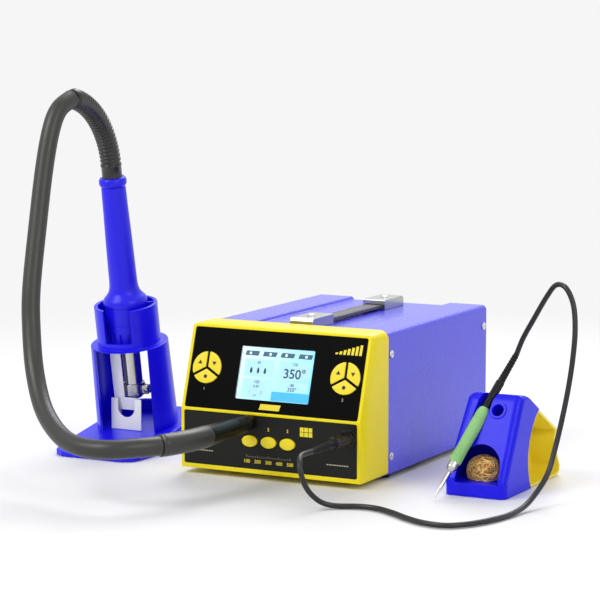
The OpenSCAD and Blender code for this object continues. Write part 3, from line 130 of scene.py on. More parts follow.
def show_backdrop(tree, share, shader, kind, output):
    """The shader fades by the share into the plain pale backdrop."""
    pale = add_node(tree, kind, {"Color": light_value(0.965, 0.965, 0.967)})
    mixed = add_node(tree, "MixShader", (share, shader.outputs[0], pale.outputs[0]))
    tree.links.new(mixed.outputs[0], tree.nodes[output].inputs["Surface"])


table_reach, table_drop = 60.0, 0.0004
table_mesh = bpy.data.meshes.new("table_top")
table_mesh.from_pydata([(x * table_reach, y * table_reach, -table_drop)
                        for x, y in ((-1, -1), (1, -1), (1, 1), (-1, 1))], [], [(0, 1, 2, 3)])
table = bpy.data.objects.new("table_top", table_mesh)
bpy.context.scene.collection.objects.link(table)
table_finish, table_tree, table_shader = shaded("table_top", {
    "Base Color": light_value(0.93, 0.93, 0.935), "Roughness": 0.6})
table_mesh.materials.append(table_finish)
table_range = add_node(table_tree, "VectorMath", (add_node(table_tree, "TexCoord").outputs["Object"],),
                       operation="LENGTH")
table_fade = add_node(table_tree, "MapRange", {"Value": table_range.outputs["Value"], "From Min": 0.35,
                                               "From Max": 1.15}, interpolation_type="SMOOTHSTEP")
table_share = maths(table_tree, "MULTIPLY", table_fade.outputs["Result"], seen_directly(table_tree))
show_backdrop(table_tree, table_share, table_shader, "Emission", "Material Output")

world = bpy.data.worlds.new("studio")
bpy.context.scene.world = world
world.use_nodes = True
world_tree = world.node_tree
world_light = world_tree.nodes["Background"]
world_light.inputs["Color"].default_value = (1.0, 1.0, 1.0, 1.0)
world_light.inputs["Strength"].default_value = 0.52
show_backdrop(world_tree, seen_directly(world_tree), world_light, "Background", "World Output")


# AIR HOSE
# A silicone hose, 17 mm thick, that lies over the table from the outlet and
# climbs behind the stand to the gun's bend boot.  It is extruded in one piece.
def smooth_route(points, steps):
    """Catmull-Rom: each span is a cubic whose slope at a point is half the way between its two neighbours."""
    points = np.array(points, float)
    p = np.vstack([points[:1], points, points[-1:]])
    a, b, c, d = (p[i:len(p) - 3 + i, None] for i in range(4))
    t = np.linspace(0, 1, steps, endpoint=False)[None, :, None]
    spans = 0.5 * (2 * b + (c - a) * t + (2 * a - 5 * b + 4 * c - d) * t**2 + (3 * b - a - 3 * c + d) * t**3)
    return np.vstack([spans.reshape(-1, 3), points[-1:]])


def run_along(path):
    """Distance along a path at each of its points: the running sum of the steps' lengths."""
    return np.concatenate([[0], np.cumsum(np.linalg.norm(np.diff(path, axis=0), axis=1))])


def unit(vectors):
    """Each vector divided by its length."""
    return vectors / np.linalg.norm(vectors, axis=1)[:, None]


def headings_and_sides(path):
    """At each point the heading is the way between its neighbours; a side vector is carried along, each
    time made square to the next heading, and the third direction is square to both."""
    heading = unit(np.gradient(path, axis=0))
    side = np.empty_like(heading)
    carried = np.cross(heading[0], (0.31, 0.12, 0.94))
    for i, h in enumerate(heading):
        carried = carried - h * (carried @ h)
        carried /= np.linalg.norm(carried)
        side[i] = carried
    return heading, side, np.cross(heading, side)


def grid_faces(rows, columns):
    """Four-sided faces between neighbouring rows of points; the last column joins the first."""
    i, k = np.meshgrid(np.arange(rows - 1), np.arange(columns), indexing="ij")
    a, b = i * columns + k, i * columns + (k + 1) % columns
    return np.stack([a, b, b + columns, a + columns], -1).reshape(-1, 4)


def closed_faces(rows, columns):
    """The faces of a grid with one more over its first row and one over its last."""
    last = (rows - 1) * columns
    return grid_faces(rows, columns).tolist() + [list(range(columns))[::-1], list(range(last, last + columns))]


def dressed(mesh, finish_used, body, replaces, crease):
    """A smooth piece from a mesh and its finish; edges sharper than crease degrees stay sharp."""
    mesh.polygons.foreach_set("use_smooth", np.ones(len(mesh.polygons), bool))
    mesh.set_sharp_from_angle(angle=math.radians(crease))
    mesh.materials.clear()
    mesh.materials.append(finish_used)
    piece = bpy.data.objects.new(mesh.name, mesh)
    bpy.context.scene.collection.objects.link(piece)
    if body:
        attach(piece, body)
    if replaces:
        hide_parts(replaces)
    return piece


def add_piece(name, mesh_data, finish_used, body="station", replaces=None, crease=35.0):
    """A piece of points, faces and, for patterns that follow it, each point's distance along and
    around the surface."""
    points, faces, *flow = mesh_data
    mesh = bpy.data.meshes.new(name)
    mesh.from_pydata(points.tolist(), [], faces)
    mesh.validate()
    for run in flow:
        layer = mesh.attributes.new("flow", "FLOAT_VECTOR", "POINT")
        layer.data.foreach_set("vector", np.column_stack([run, np.zeros(len(run))]).astype(np.float32).ravel())
    return dressed(mesh, finish_used, body, replaces, crease)


def skin(node, mesh_data, finish_used, body="station", crease=35.0):
    """A piece that stands for a solid and is named after it."""
    return add_piece(node + "_skin", mesh_data, finish_used, body, node, crease)


def tube_mesh(path, radius, sides):
    """Ring k is point k of the path plus the radius times side*cos a + other*sin a, with a going once
    round; radius is one number, one for each ring, or one for each ring and angle.  Both ends are closed."""
    heading, side, other = headings_and_sides(path)
    a = np.linspace(0, 2 * np.pi, sides, endpoint=False)
    r = np.broadcast_to(np.reshape(radius, (-1, 1)) if np.ndim(radius) == 1 else radius, (len(path), sides))
    ring = np.cos(a)[None, :, None] * side[:, None] + np.sin(a)[None, :, None] * other[:, None]
    points = (path[:, None] + r[..., None] * ring).reshape(-1, 3)
    flow = np.column_stack([np.repeat(run_along(path), sides), np.tile(a, len(path)) * r.mean()])
    return points, closed_faces(len(path), sides), flow


def surface_group():
    """Node group for every moulded, painted or cast surface.  Fine noise gives the grain's height, a
    broad noise the mottle that lifts or dims the colour and the roughness, and a third, stretched
    noise the lines of brushing."""
    group = bpy.data.node_groups.new("surface_grain", "ShaderNodeTree")
    for way, kind, sockets in (("INPUT", "Vector", ("Vector",)), ("INPUT", "Color", ("Colour",)),
                               ("INPUT", "Float", ("Roughness", "Grain Size", "Mottle", "Rough Spread",
                                                   "Brushing")),
                               ("OUTPUT", "Color", ("Colour",)), ("OUTPUT", "Float", ("Roughness", "Height"))):
        for socket in sockets:
            group.interface.new_socket(socket, in_out=way, socket_type="NodeSocket" + kind)
    given = group.nodes.new("NodeGroupInput").outputs
    result = group.nodes.new("NodeGroupOutput").inputs

    def noise(scale, detail, vector=given["Vector"]):
        return add_node(group, "TexNoise", {"Vector": vector, "Scale": scale, "Detail": detail}).outputs["Fac"]

    grain = noise(maths(group, "DIVIDE", 1.0, given["Grain Size"]), 2.0)
    broad = maths(group, "SUBTRACT", noise(38.0, 4.0), 0.5)
    stretch = add_node(group, "VectorMath", (given["Vector"], (60.0, 60.0, 2600.0)), operation="MULTIPLY")
    lines = maths(group, "SUBTRACT", noise(1.0, 2.0, stretch.outputs[0]), 0.5)
    brushed = maths(group, "MULTIPLY", lines, given["Brushing"])
    lift = maths(group, "ADD", maths(group, "MULTIPLY_ADD", broad, given["Mottle"], 1.0),
                 maths(group, "MULTIPLY", brushed, 0.5))
    tint = add_node(group, "VectorMath", {0: given["Colour"], "Scale": lift}, operation="SCALE")
    roughness = maths(group, "ADD", given["Roughness"], maths(group, "MULTIPLY", broad, given["Rough Spread"]))
    for socket, value in (("Colour", tint.outputs[0]), ("Roughness", maths(group, "ADD", roughness, brushed)),
                          ("Height", maths(group, "ADD", grain, maths(group, "MULTIPLY", brushed, 4.0)))):
        group.links.new(value, result[socket])
    return group


surface_grain = surface_group()


def finish(name, display, roughness, grain=0.0008, depth=0.02, mottle=0.08, spread=0.12, metal=0.0,
           coat=0.0, brushing=0.0, gloss=0.5, follows_flow=False):
    """A material: the surface group gives colour, roughness and height from the object's own
    coordinates, or from the flow attribute on cords; the plain numbers sit on the shader."""
    material, tree, shader = shaded(name, {"Metallic": metal, "Specular IOR Level": gloss, "Coat Weight": coat,
                                           "Coat Roughness": 0.12})
    place = (add_node(tree, "Attribute", attribute_name="flow").outputs["Vector"] if follows_flow
             else add_node(tree, "TexCoord").outputs["Object"])
    surface = add_node(tree, "Group", {
        "Vector": place, "Colour": light_value(*display), "Roughness": roughness, "Grain Size": grain,
        "Mottle": mottle, "Rough Spread": spread, "Brushing": brushing}, node_tree=surface_grain, name="surface")
    bump = add_node(tree, "Bump", {"Strength": 0.5, "Distance": depth / 1000, "Height": surface.outputs["Height"]})
    for value, socket in ((surface.outputs["Colour"], "Base Color"), (surface.outputs["Roughness"], "Roughness"),
                          (bump.outputs["Normal"], "Normal")):
        tree.links.new(value, shader.inputs[socket])
    return material


bezel_face_y = -55.0
outlet = np.array([-20.0, bezel_face_y, 53.0])
boot_length = 80.0
sleeve_bend, sleeve_turn = 140.0, math.radians(25)
hose_radius, sleeve_radius = 8.5, 10.0
hose_begin = outlet + [-sleeve_bend * (1 - math.cos(sleeve_turn)),
                       -boot_length - sleeve_bend * math.sin(sleeve_turn), 0]

gun_lean = math.radians(10)
gun_place = np.array([-204.0, 50.0, 4.7 + 92 * math.tan(gun_lean)])
bend_radius, bend_turn = 80.0, math.radians(72)
bend_base = 263.0
top_turn = gun_lean + bend_turn
hose_end = gun_place + [
    0, bend_radius * (math.cos(top_turn) - math.cos(gun_lean)) - bend_base * math.sin(gun_lean),
    bend_radius * (math.sin(top_turn) - math.sin(gun_lean)) + bend_base * math.cos(gun_lean)]
hose_corners = [(-44, -210, 53), (-64, -225, 52), (-92, -226, 52), (-122, -213, 57), (-155, -190, 74),
                (-179, -168, 103), (-193, -152, 140), (-199, -142, 176), (-204, -122, 236), (-207, -106, 284),
                (-207, -94, 318), (-206, -82, 336)]
hose_path = placed(smooth_route(np.vstack([hose_begin, hose_corners, hose_end]), 14))
hose_finish = finish("hose_rubber", (0.185, 0.19, 0.175), 0.40, grain=0.0006, depth=0.03, mottle=0.25,
                     spread=0.2, follows_flow=True)
air_hose_skin = skin("air_hose", tube_mesh(hose_path, hose_radius / 1000, 48), hose_finish, None)

# OUTLET BOOT AND SLEEVE
# The hose leaves the panel in a moulded black rubber boot pushed on the neck,
# then in a thicker grey sleeve with a bead at its end, shrunk over the hose.
rubber_black = finish("boot_rubber", (0.055, 0.055, 0.057), 0.38, grain=0.0005, depth=0.04, mottle=0.3,
                      spread=0.2, gloss=0.22)
sleeve_arc = np.array([at(outlet[0] - sleeve_bend * (1 - math.cos(a)),
                          bezel_face_y - boot_length - sleeve_bend * math.sin(a), outlet[2])
                       for a in np.linspace(0, sleeve_turn, 60)])
sleeve_run = run_along(sleeve_arc) * 1000
sleeve_left = sleeve_run[-1] - sleeve_run
sleeve_r = (sleeve_radius - 0.5 * np.exp(-((sleeve_left - 3.2) / 0.55) ** 2)
            - 1.1 * np.clip(1.0 - sleeve_left, 0, 1) ** 2 - 0.9 * np.clip(1.2 - sleeve_run, 0, 1) ** 2)
hose_sleeve_skin = skin("hose_sleeve", tube_mesh(sleeve_arc, sleeve_r / 1000, 48), hose_finish)
boot_run = np.concatenate([np.linspace(0, 34, 90), np.linspace(34.5, boot_length, 60)])
boot_path = np.array([at(outlet[0], bezel_face_y - s, outlet[2]) for s in boot_run])
groove_deep, groove_gap = 0.55, 4.4
boot_grooves = (np.cos(2 * np.pi * (boot_run - 6) / groove_gap) > 0.35) * (boot_run > 7) * (boot_run < 31)
boot_r = np.interp(boot_run, [0, 0.6, 2, 72, 79, 80], [6.6, 7.1, 7.2, 9.5, 9.5, 8.9]) - groove_deep * boot_grooves
hose_boot_skin = skin("hose_boot", tube_mesh(boot_path, boot_r / 1000, 48), rubber_black,
                      crease=50)
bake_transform(air_hose_skin)


# IRON'S CABLE AND ITS PLUG
# A limp silicone cable, 4.8 mm thick, from the plug's long strain relief down
# to the table, round the stand and up over it into the iron's tail.
cable_radius = 2.4
plug_place = np.array([82.0, bezel_face_y, 47.0])
relief_end = [0, -72, 0]
iron_lean, iron_turn = math.radians(43), math.radians(71.9)
iron_tip = np.array([168.6, -63.5, 0.5])
iron_way = np.array([math.sin(iron_lean) * math.cos(iron_turn), math.sin(iron_lean) * math.sin(iron_turn),
                     math.cos(iron_lean)])
iron_length = 162.0
cable_corners = [(80, -144, 46), (84, -155, 41), (87, -158, 33), (89, -155, 23), (92, -149, 14), (98, -141, 6),
                 (108, -134, 2.6), (128, -126, 2.5), (146, -127, 2.5), (165, -137, 2.5), (184, -150, 2.5),
                 (204, -160, 2.5), (225, -161, 2.5), (240, -146, 2.5), (250, -124, 2.5), (256, -96, 2.5),
                 (258, -68, 5), (261, -46, 15), (264, -31, 28), (266, -21, 47), (269, -13, 72), (272, -7, 98),
                 (274, -2, 124), (274, 3, 150), (270, 8, 172), (261, 12, 186), (250, 17, 187), (238, 25, 175),
                 (222, 33, 152), (210, 39, 134)]
cable_path = placed(smooth_route(np.vstack([plug_place + relief_end, cable_corners,
                                            iron_tip + iron_length * iron_way]), 12))
cable_finish = finish("cable_rubber", (0.085, 0.085, 0.09), 0.36, grain=0.0004, mottle=0.3, spread=0.2,
                      follows_flow=True)
iron_cable_skin = skin("iron_cable", tube_mesh(cable_path, cable_radius / 1000, 24), cable_finish,
                       None)


def rounded_corners(profile, radius, steps=5):
    """Each inner corner of a line of points is replaced by a short parabola that leaves and meets its
    two sides at the radius, or at not quite half a side where the side is short."""
    p = np.array(profile, float)
    out = [p[:1]]
    t = np.linspace(0, 1, steps)[:, None]
    for before, corner, after in zip(p[:-2], p[1:-1], p[2:]):
        to_before, to_after = before - corner, after - corner
        a = corner + to_before * min(radius / np.linalg.norm(to_before), 0.48)
        b = corner + to_after * min(radius / np.linalg.norm(to_after), 0.48)
        out.append((1 - t) ** 2 * a + 2 * t * (1 - t) * corner + t**2 * b)
    return np.vstack(out + [p[-1:]])


def axis_frame(place, toward, side=(1, 0, 0)):
    """A 3 by 3 matrix and a place: z points toward the given way, x lies as near as it can to side."""
    z = np.array(toward, float) / np.linalg.norm(toward)
    x = np.array(side, float) - z * (np.array(side, float) @ z)
    x /= np.linalg.norm(x)
    return np.array([x, np.cross(z, x), z]), np.array(place, float)


def in_frame(local, axes):
    """Drawn points in a leaning frame, in millimetres, moved into the shared frame in metres."""
    return placed(np.asarray(local, float) @ axes[0] + axes[1])


def polar_points(r, a, z, axes):
    """Points at x = r cos a, y = r sin a and height z in a leaning frame, row by row."""
    return in_frame(np.stack([r * np.cos(a), r * np.sin(a), np.broadcast_to(z, r.shape)], -1).reshape(-1, 3), axes)


def turned_mesh(profile, axes, sides=96, ripple=None):
    """A profile of radius and height turned about z: x = r cos a, y = r sin a.  ripple adds to the
    radius a value for each ring and angle.  A ring of radius near 0 is closed by one face."""
    profile = np.array(profile, float)
    a = np.linspace(0, 2 * np.pi, sides, endpoint=False)
    r = np.maximum(profile[:, :1], 0.02) + (0 if ripple is None else ripple(profile, a))
    r = np.broadcast_to(r, (len(profile), sides))
    return polar_points(r, a, profile[:, 1:], axes), closed_faces(len(profile), sides)


def joined(*meshes):
    """Several point and face lists as one, each with its face numbers moved past those before it."""
    points, faces, count = [], [], 0
    for p, f in meshes:
        points.append(p)
        faces += [[v + count for v in face] for face in f]
        count += len(p)
    return np.vstack(points), faces


plug_axes = axis_frame(plug_place, (0, -1, 0))
plug_front = rounded_corners([(0, 1.65), (6.5, 1.65), (6.5, 5.6), (5.7, 6.2), (5.7, 28.6), (6.2, 29.2),
                              (6.2, 34), (4.6, 34.8), (4.3, 38), (3.9, 40), (2.9, 72), (2.4, 72.4), (0, 72.4)], 0.5)
plug_height = plug_front[:, 1]
relief = [(np.interp(z, [40, 72], [3.9, 2.9]) - 0.45 * (math.cos(2 * math.pi * (z - 43) / 3.6) > 0.2), z)
          for z in np.linspace(43, 68, 140)]
plug_profile = np.vstack([plug_front[plug_height < 7], [(5.7, z) for z in np.linspace(7.2, 27.4, 60)],
                          plug_front[(plug_height > 27.5) & (plug_height < 42.9)], relief,
                          plug_front[plug_height > 68.1]])


def plug_ribs(profile, a):
    """Twelve low flat ribs round the plug's barrel: the top of a cosine, cut off above 1."""
    z = profile[:, 1:]
    barrel = np.clip((z - 8) / 0.8, 0, 1) * np.clip((26.5 - z) / 0.8, 0, 1)
    return barrel * 0.5 * np.clip(3 * np.cos(12 * a) - 1.2, 0, 1)


def turning(line):
    """Twice the area inside a closed flat line: above 0 when it is drawn to the left, else below."""
    return np.sum(line[:, 0] * np.roll(line[:, 1], -1) - np.roll(line[:, 0], -1) * line[:, 1])


def raised_pad(outline, low, high, axes, round_off=0.4, steps=4):
    """A closed outline raised from low to high, with its upper rim drawn in along a quarter circle."""
    line = np.array(outline, float)
    if np.linalg.norm(line[0] - line[-1]) < 1e-6:
        line = line[:-1]
    way = np.roll(line, -1, 0) - np.roll(line, 1, 0)
    turned_left = turning(line) > 0
    inward = unit(np.column_stack([-way[:, 1], way[:, 0]])) * (1 if turned_left else -1)
    rows = [(0, low)] + [(round_off * (1 - math.cos(t)), high - round_off * (1 - math.sin(t)))
                         for t in np.linspace(0, np.pi / 2, steps)]
    points = np.vstack([np.column_stack([line + inward * off, np.full(len(line), z)]) for off, z in rows])
    faces = closed_faces(len(rows), len(line))
    return in_frame(points, axes), faces if turned_left else [face[::-1] for face in faces]


latch_line = rounded_corners([(-2.5, 7), (-2.5, 13), (2.5, 13), (2.5, 7), (-2.5, 7)], 0.8, 4)
latch = raised_pad(latch_line * [1, -1], 4.5, 8.6, axis_frame(plug_place, (0, 0, 1)), 0.6)
plug_barrel = turned_mesh(plug_profile, plug_axes, 144, plug_ribs)
iron_plug_skin = skin("iron_plug", joined(plug_barrel, latch), rubber_black)
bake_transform(iron_cable_skin)


# HOT AIR GUN
# Blue nylon handle and barrel, moulded in a front and a rear half that meet
# along the sides, with a separate collar that clamps the bend boot at the top.
gun_way = (0, -math.sin(gun_lean), math.cos(gun_lean))
gun_axes = axis_frame(gun_place, gun_way)
cradle_turn = math.radians(11)
cradle_axes = axis_frame(gun_place, gun_way, [math.cos(cradle_turn), math.sin(cradle_turn), 0] @ gun_axes[0])
gun_blue = finish("gun_blue", (0.11, 0.075, 0.92), 0.36, grain=0.0007, depth=0.012, mottle=0.07, spread=0.1,
                  coat=0.05, gloss=0.35)


def swept_loop(loop, angles, axes, ripple=None):
    """A closed loop of radius and height swept round z through the angles: x = r cos a, y = r sin a.
    The loop closes both ends, or after a whole turn the last ring joins the first.  ripple changes
    the radius at a ring and angle."""
    loop = np.array(loop, float)
    whole = abs(angles[-1] - angles[0] - 2 * math.pi) < 1e-9
    a = (angles[:-1] if whole else angles)[:, None]
    r = loop[:, 0][None] + (0 if ripple is None else ripple(loop, a))
    r = np.broadcast_to(r, (len(a), len(loop)))
    faces = ((grid_faces(len(a) + 1, len(loop)) % r.size).tolist() if whole
             else closed_faces(len(a), len(loop)))
    if turning(loop) > 0:
        faces = [face[::-1] for face in faces]
    return polar_points(r, a, loop[:, 1][None], axes), faces


def fine_steps(start, end, gap):
    """Points from start to end so that no step is longer than the gap."""
    start, end = np.array(start, float), np.array(end, float)
    steps = math.ceil(np.linalg.norm(end - start) / gap)
    return start + (end - start) * np.linspace(0, 1, steps + 1)[:, None]


def away_from(a, degrees):
    """The angle between a and a direction, the shorter way round."""
    return np.abs((a - math.radians(degrees) + np.pi) % (2 * np.pi) - np.pi)


def within(reach, distance, blend):
    """1 where the distance is inside the reach and 0 outside it, with a slope as wide as the blend."""
    return np.clip((reach - distance) / blend + 0.5, 0, 1)


barrel_radius, barrel_low, shoulder_low, handle_low, handle_top = 20.5, 78.0, 123.0, 143.0, 241.0
shoulder_radius, bore_radius = 21.5, 9.35
gun_outside = np.vstack([
    rounded_corners([(bore_radius, barrel_low), (barrel_radius - 2, barrel_low),
                     (barrel_radius - 0.4, barrel_low + 1.2), (barrel_radius, barrel_low + 5)], 1.4),
    fine_steps((barrel_radius, barrel_low + 7.6), (barrel_radius, barrel_low + 19.8), 0.4),
    fine_steps((barrel_radius, barrel_low + 26), (barrel_radius, barrel_low + 28.8), 0.18),
    rounded_corners([(barrel_radius, barrel_low + 33), (barrel_radius, shoulder_low), (shoulder_radius, shoulder_low),
                     (shoulder_radius, shoulder_low + 4.2), (20.5, shoulder_low + 6.8), (17.5, shoulder_low + 10.0),
                     (15.2, shoulder_low + 13.2), (14.1, shoulder_low + 17.5), (13.7, handle_low + 2),
                     (13.4, handle_low + 20), (13.0, handle_low + 45), (12.3, handle_low + 72),
                     (11.9, handle_top - 1.2), (11.2, handle_top), (9.8, handle_top)], 1.6)])
gun_inside = [(9.8, handle_top - 6), (9.5, handle_top - 6), (9.4, handle_low + 30), (11.1, handle_low),
              (12.9, shoulder_low + 14), (18.1, shoulder_low + 3), (18.1, barrel_low + 3),
              (bore_radius, barrel_low + 3)]
slot_half, slot_deep, ring_deep = 1.4, 1.9, 0.5


def barrel_slots(loop, a):
    """Three upright cooling slots on the front and three on the rear, 2.8 mm wide, and a fine ring groove."""
    r, z = loop[:, 0][None], loop[:, 1][None] - barrel_low
    across = np.min([away_from(a, 270 + turn) for turn in (-23, 0, 23, 157, 180, 203)], axis=0) * barrel_radius
    slot = within(slot_half, across, 0.3) * within(5.0, np.abs(z - 13.8), 0.3)
    ring = within(0.45, np.abs(z - 27.4), 0.15)
    return -np.maximum(slot_deep * slot, ring_deep * ring) * (r > 19)


parting = 0.12 / barrel_radius
for half_name, half_from in (("gun_front", math.pi), ("gun_rear", 0.0)):
    half_angles = np.linspace(half_from + parting, half_from + math.pi - parting, 181)
    half_mesh = swept_loop(np.vstack([gun_outside, gun_inside]), half_angles, cradle_axes, barrel_slots)
    add_piece(half_name + "_skin", half_mesh, gun_blue, "hot_air_gun", half_name + "_shell", 32)

collar_profile = rounded_corners([
    (9.8, handle_top + 0.1), (11.8, handle_top + 0.1), (13.2, handle_top + 2.2), (13.4, handle_top + 3.2),
    (13.4, handle_top + 6.3), (12.4, handle_top + 8.2), (11.6, handle_top + 9), (9.8, handle_top + 9)], 0.9)


def collar_seam(loop, a):
    """The clamp's joint: a narrow upright groove on the left of the collar."""
    return -0.7 * np.clip((0.45 - away_from(a, 205) * 13) / 0.2, 0, 1) * (loop[:, 0][None] > 10.5)


skin("gun_collar", swept_loop(collar_profile, np.linspace(0, 2 * np.pi, 289), gun_axes, collar_seam), gun_blue,
     "hot_air_gun", 40)

# BEND BOOT
# Black rubber that turns the hose over the top: a smooth neck in the collar,
# a bead, then ribs that fade along the front so that it bends one way.
boot_neck_radius, rib_count, rib_deep, boot_sides, end_steps = 9.7, 24, 1.15, 96, 10
neck_heights = np.array([handle_top - 5.6, handle_top + 11.0, bend_base - 2.2, bend_base - 1.9, bend_base - 1.4,
                         bend_base - 0.8, bend_base - 0.3, bend_base])
neck_radii = np.array([9.7, 9.7, 9.7, 10.1, 10.35, 10.35, 10.1, 9.6])
bend_steps = rib_count * 12
bend_angles = np.linspace(0, 1, bend_steps + 1)[1:] * bend_turn
boot_line = np.vstack([np.column_stack([np.zeros(8), np.zeros(8), neck_heights]),
                       np.column_stack([np.zeros(bend_steps), bend_radius * (np.cos(bend_angles) - 1),
                                        bend_base + bend_radius * np.sin(bend_angles)])])
boot_round = np.linspace(0, 2 * np.pi, boot_sides, endpoint=False)
rib_phase = bend_angles / bend_turn * rib_count
rib_depth = rib_deep * (0.5 - 0.5 * np.tanh(3.2 * np.cos(2 * np.pi * rib_phase) + 0.4))
rib_depth[-end_steps:] = np.linspace(0.2, 1.6, end_steps)
fade = np.clip(1.7 * np.abs(np.sin(boot_round - math.radians(208))) - 0.32, 0, 1)
fade = np.where(np.arange(bend_steps)[:, None] >= bend_steps - end_steps, 1.0, fade[None])
boot_radii = np.vstack([np.repeat(neck_radii[:, None], boot_sides, 1),
                        boot_neck_radius + 0.35 - rib_depth[:, None] * fade])
bend_rubber = finish("bend_rubber", (0.16, 0.16, 0.15), 0.26, grain=0.0005, depth=0.03, mottle=0.3, spread=0.2)
skin("bend_boot", tube_mesh(in_frame(boot_line, gun_axes), boot_radii / 1000, boot_sides)[:2], bend_rubber,
     "hot_air_gun", 60)

# HEATER TUBE AND NOZZLE
# A drawn stainless tube with a clamped nozzle ring at its end: the ring is
# split at a lug on its right and drawn shut by a cross screw.
stainless = finish("stainless", (0.80, 0.80, 0.80), 0.2, grain=0.0009, depth=0.004, mottle=0.1, metal=1.0,
                   brushing=0.12)
tube_profile = rounded_corners([(8.4, 33.0), (8.9, 32.6), (9.2, 33.2), (9.2, 91.0), (8.6, 91.5), (8.4, 91.0)],
                               0.25)
skin("heater_tube", swept_loop(tube_profile, np.linspace(0, 2 * np.pi, 145), gun_axes), stainless,
     "hot_air_gun")
nozzle_finish = finish("nozzle_steel", (0.72, 0.72, 0.73), 0.26, grain=0.0007, depth=0.006, mottle=0.22,
                       spread=0.2, metal=1.0, brushing=0.18)
lug_turn = math.radians(-8)
nozzle_radius = 11.0
nozzle_loop = rounded_corners([(5.5, 27.05), (7.1, 27.05), (7.7, 29.3), (10.2, 29.8), (nozzle_radius, 31.0),
                               (nozzle_radius, 41.2), (10.7, 42.4), (9.8, 42.4), (9.3, 41.6), (9.3, 32.2),
                               (5.5, 32.0)], 0.5)
split = 0.6 / nozzle_radius
nozzle_angles = np.linspace(lug_turn + split, lug_turn + 2 * math.pi - split, 145)
nozzle_body = swept_loop(nozzle_loop, nozzle_angles, cradle_axes)


def turned_line(line, turn):
    """A flat line turned about its origin: x cos t - y sin t, x sin t + y cos t."""
    c, s = math.cos(turn), math.sin(turn)
    return np.column_stack([line[:, 0] * c - line[:, 1] * s, line[:, 0] * s + line[:, 1] * c])


def box_line(x0, y0, x1, y1, radius):
    """A box's outline, drawn once round from the middle of its lower side, with rounded corners."""
    middle = ((x0 + x1) / 2, y0)
    return rounded_corners([middle, (x1, y0), (x1, y1), (x0, y1), (x0, y0), middle], radius, 4)


def block_mesh(low, high, axes, turn=0.0, round_off=0.35):
    """A block between two corners, turned about z, with its upright edges and upper rim rounded."""
    line = turned_line(box_line(*low[:2], *high[:2], round_off), turn)
    return raised_pad(line, low[2], high[2], axes, round_off, 3)


lug_thick, lug_face, lug_middle = 2.8, 3.45, 13.6
nozzle_lugs = [block_mesh((10.4, y, 31.6), (16.4, y + lug_thick, 40.4), cradle_axes, lug_turn)
               for y in (-lug_face, 0.65)]
skin("nozzle", joined(nozzle_body, *nozzle_lugs), nozzle_finish, "gun_nozzle")


def oval(x, y, wide, high, count):
    """A ring of points round a middle: x + wide cos a, y + high sin a."""
    a = np.linspace(0, 2 * np.pi, count, endpoint=False)
    return np.column_stack([x + wide * np.cos(a), y + high * np.sin(a)])


def cross_screw(place, toward, head_radius, head_height, shank=0.0, side=(1, 0, 0)):
    """A pan head turned about its axis: the dome's height falls off as a circle, and two crossing
    slots, each a smooth trough, sink it across the middle."""
    rings, sides = np.linspace(0, 1, 22), 96
    a = np.linspace(0, 2 * np.pi, sides, endpoint=False)
    r = head_radius * np.sin(rings * np.pi / 2)[:, None]
    x, y = r * np.cos(a), r * np.sin(a)
    dome = head_height * (0.45 + 0.55 * np.sqrt(np.clip(1 - (r / head_radius) ** 2, 0, 1)))
    arms = [np.clip((0.13 * head_radius - np.abs(u)) / 0.12, 0, 1) * (np.abs(v) < 0.56 * head_radius)
            for u, v in ((x, y), (y, x))]
    z = dome - 0.5 * head_height * np.maximum(*arms)
    top = np.stack([x, y, z], -1)[::-1].reshape(-1, 3)[:-sides]
    skirt = np.column_stack([oval(0, 0, head_radius, head_radius, sides), np.full(sides, -shank)])
    points = in_frame(np.vstack([skirt, top, [[0, 0, z[0, 0]]]]), axis_frame(place, toward, side))
    hub, last = len(points) - 1, (len(rings) - 1) * sides
    crown = [[last + k, last + (k + 1) % sides, hub] for k in range(sides)]
    return points, grid_faces(len(rings), sides).tolist() + [list(range(sides))[::-1]] + crown


lug_side = np.array([math.sin(lug_turn), -math.cos(lug_turn), 0.0]) @ cradle_axes[0]
screw_place = np.array([lug_middle * math.cos(lug_turn) - lug_face * math.sin(lug_turn),
                        lug_middle * math.sin(lug_turn) - lug_face * math.cos(lug_turn),
                        36.0]) @ cradle_axes[0] + cradle_axes[1]
skin("nozzle_screw", cross_screw(screw_place, lug_side, 2.5, 1.9), nozzle_finish, "gun_nozzle", 30)


def keep_solid(node, finish_used):
    """A solid whose shape is already right keeps its mesh and takes the finish."""
    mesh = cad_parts[node].data
    mesh.materials.clear()
    mesh.materials.append(finish_used)
    mesh.polygons.foreach_set("material_index", np.zeros(len(mesh.polygons), np.int32))


keep_solid("heater_core", finish("ceramic", (0.88, 0.86, 0.80), 0.7, grain=0.0006, depth=0.03, mottle=0.12))

# GUN STAND
# Painted cast foot and cradle: a wedge with a bevelled outline, and a round
# shell in two steps whose edges are eased by the paint.
stand_blue = finish("stand_blue", (0.09, 0.05, 0.93), 0.34, grain=0.0011, depth=0.03, coat=0.08, gloss=0.35)


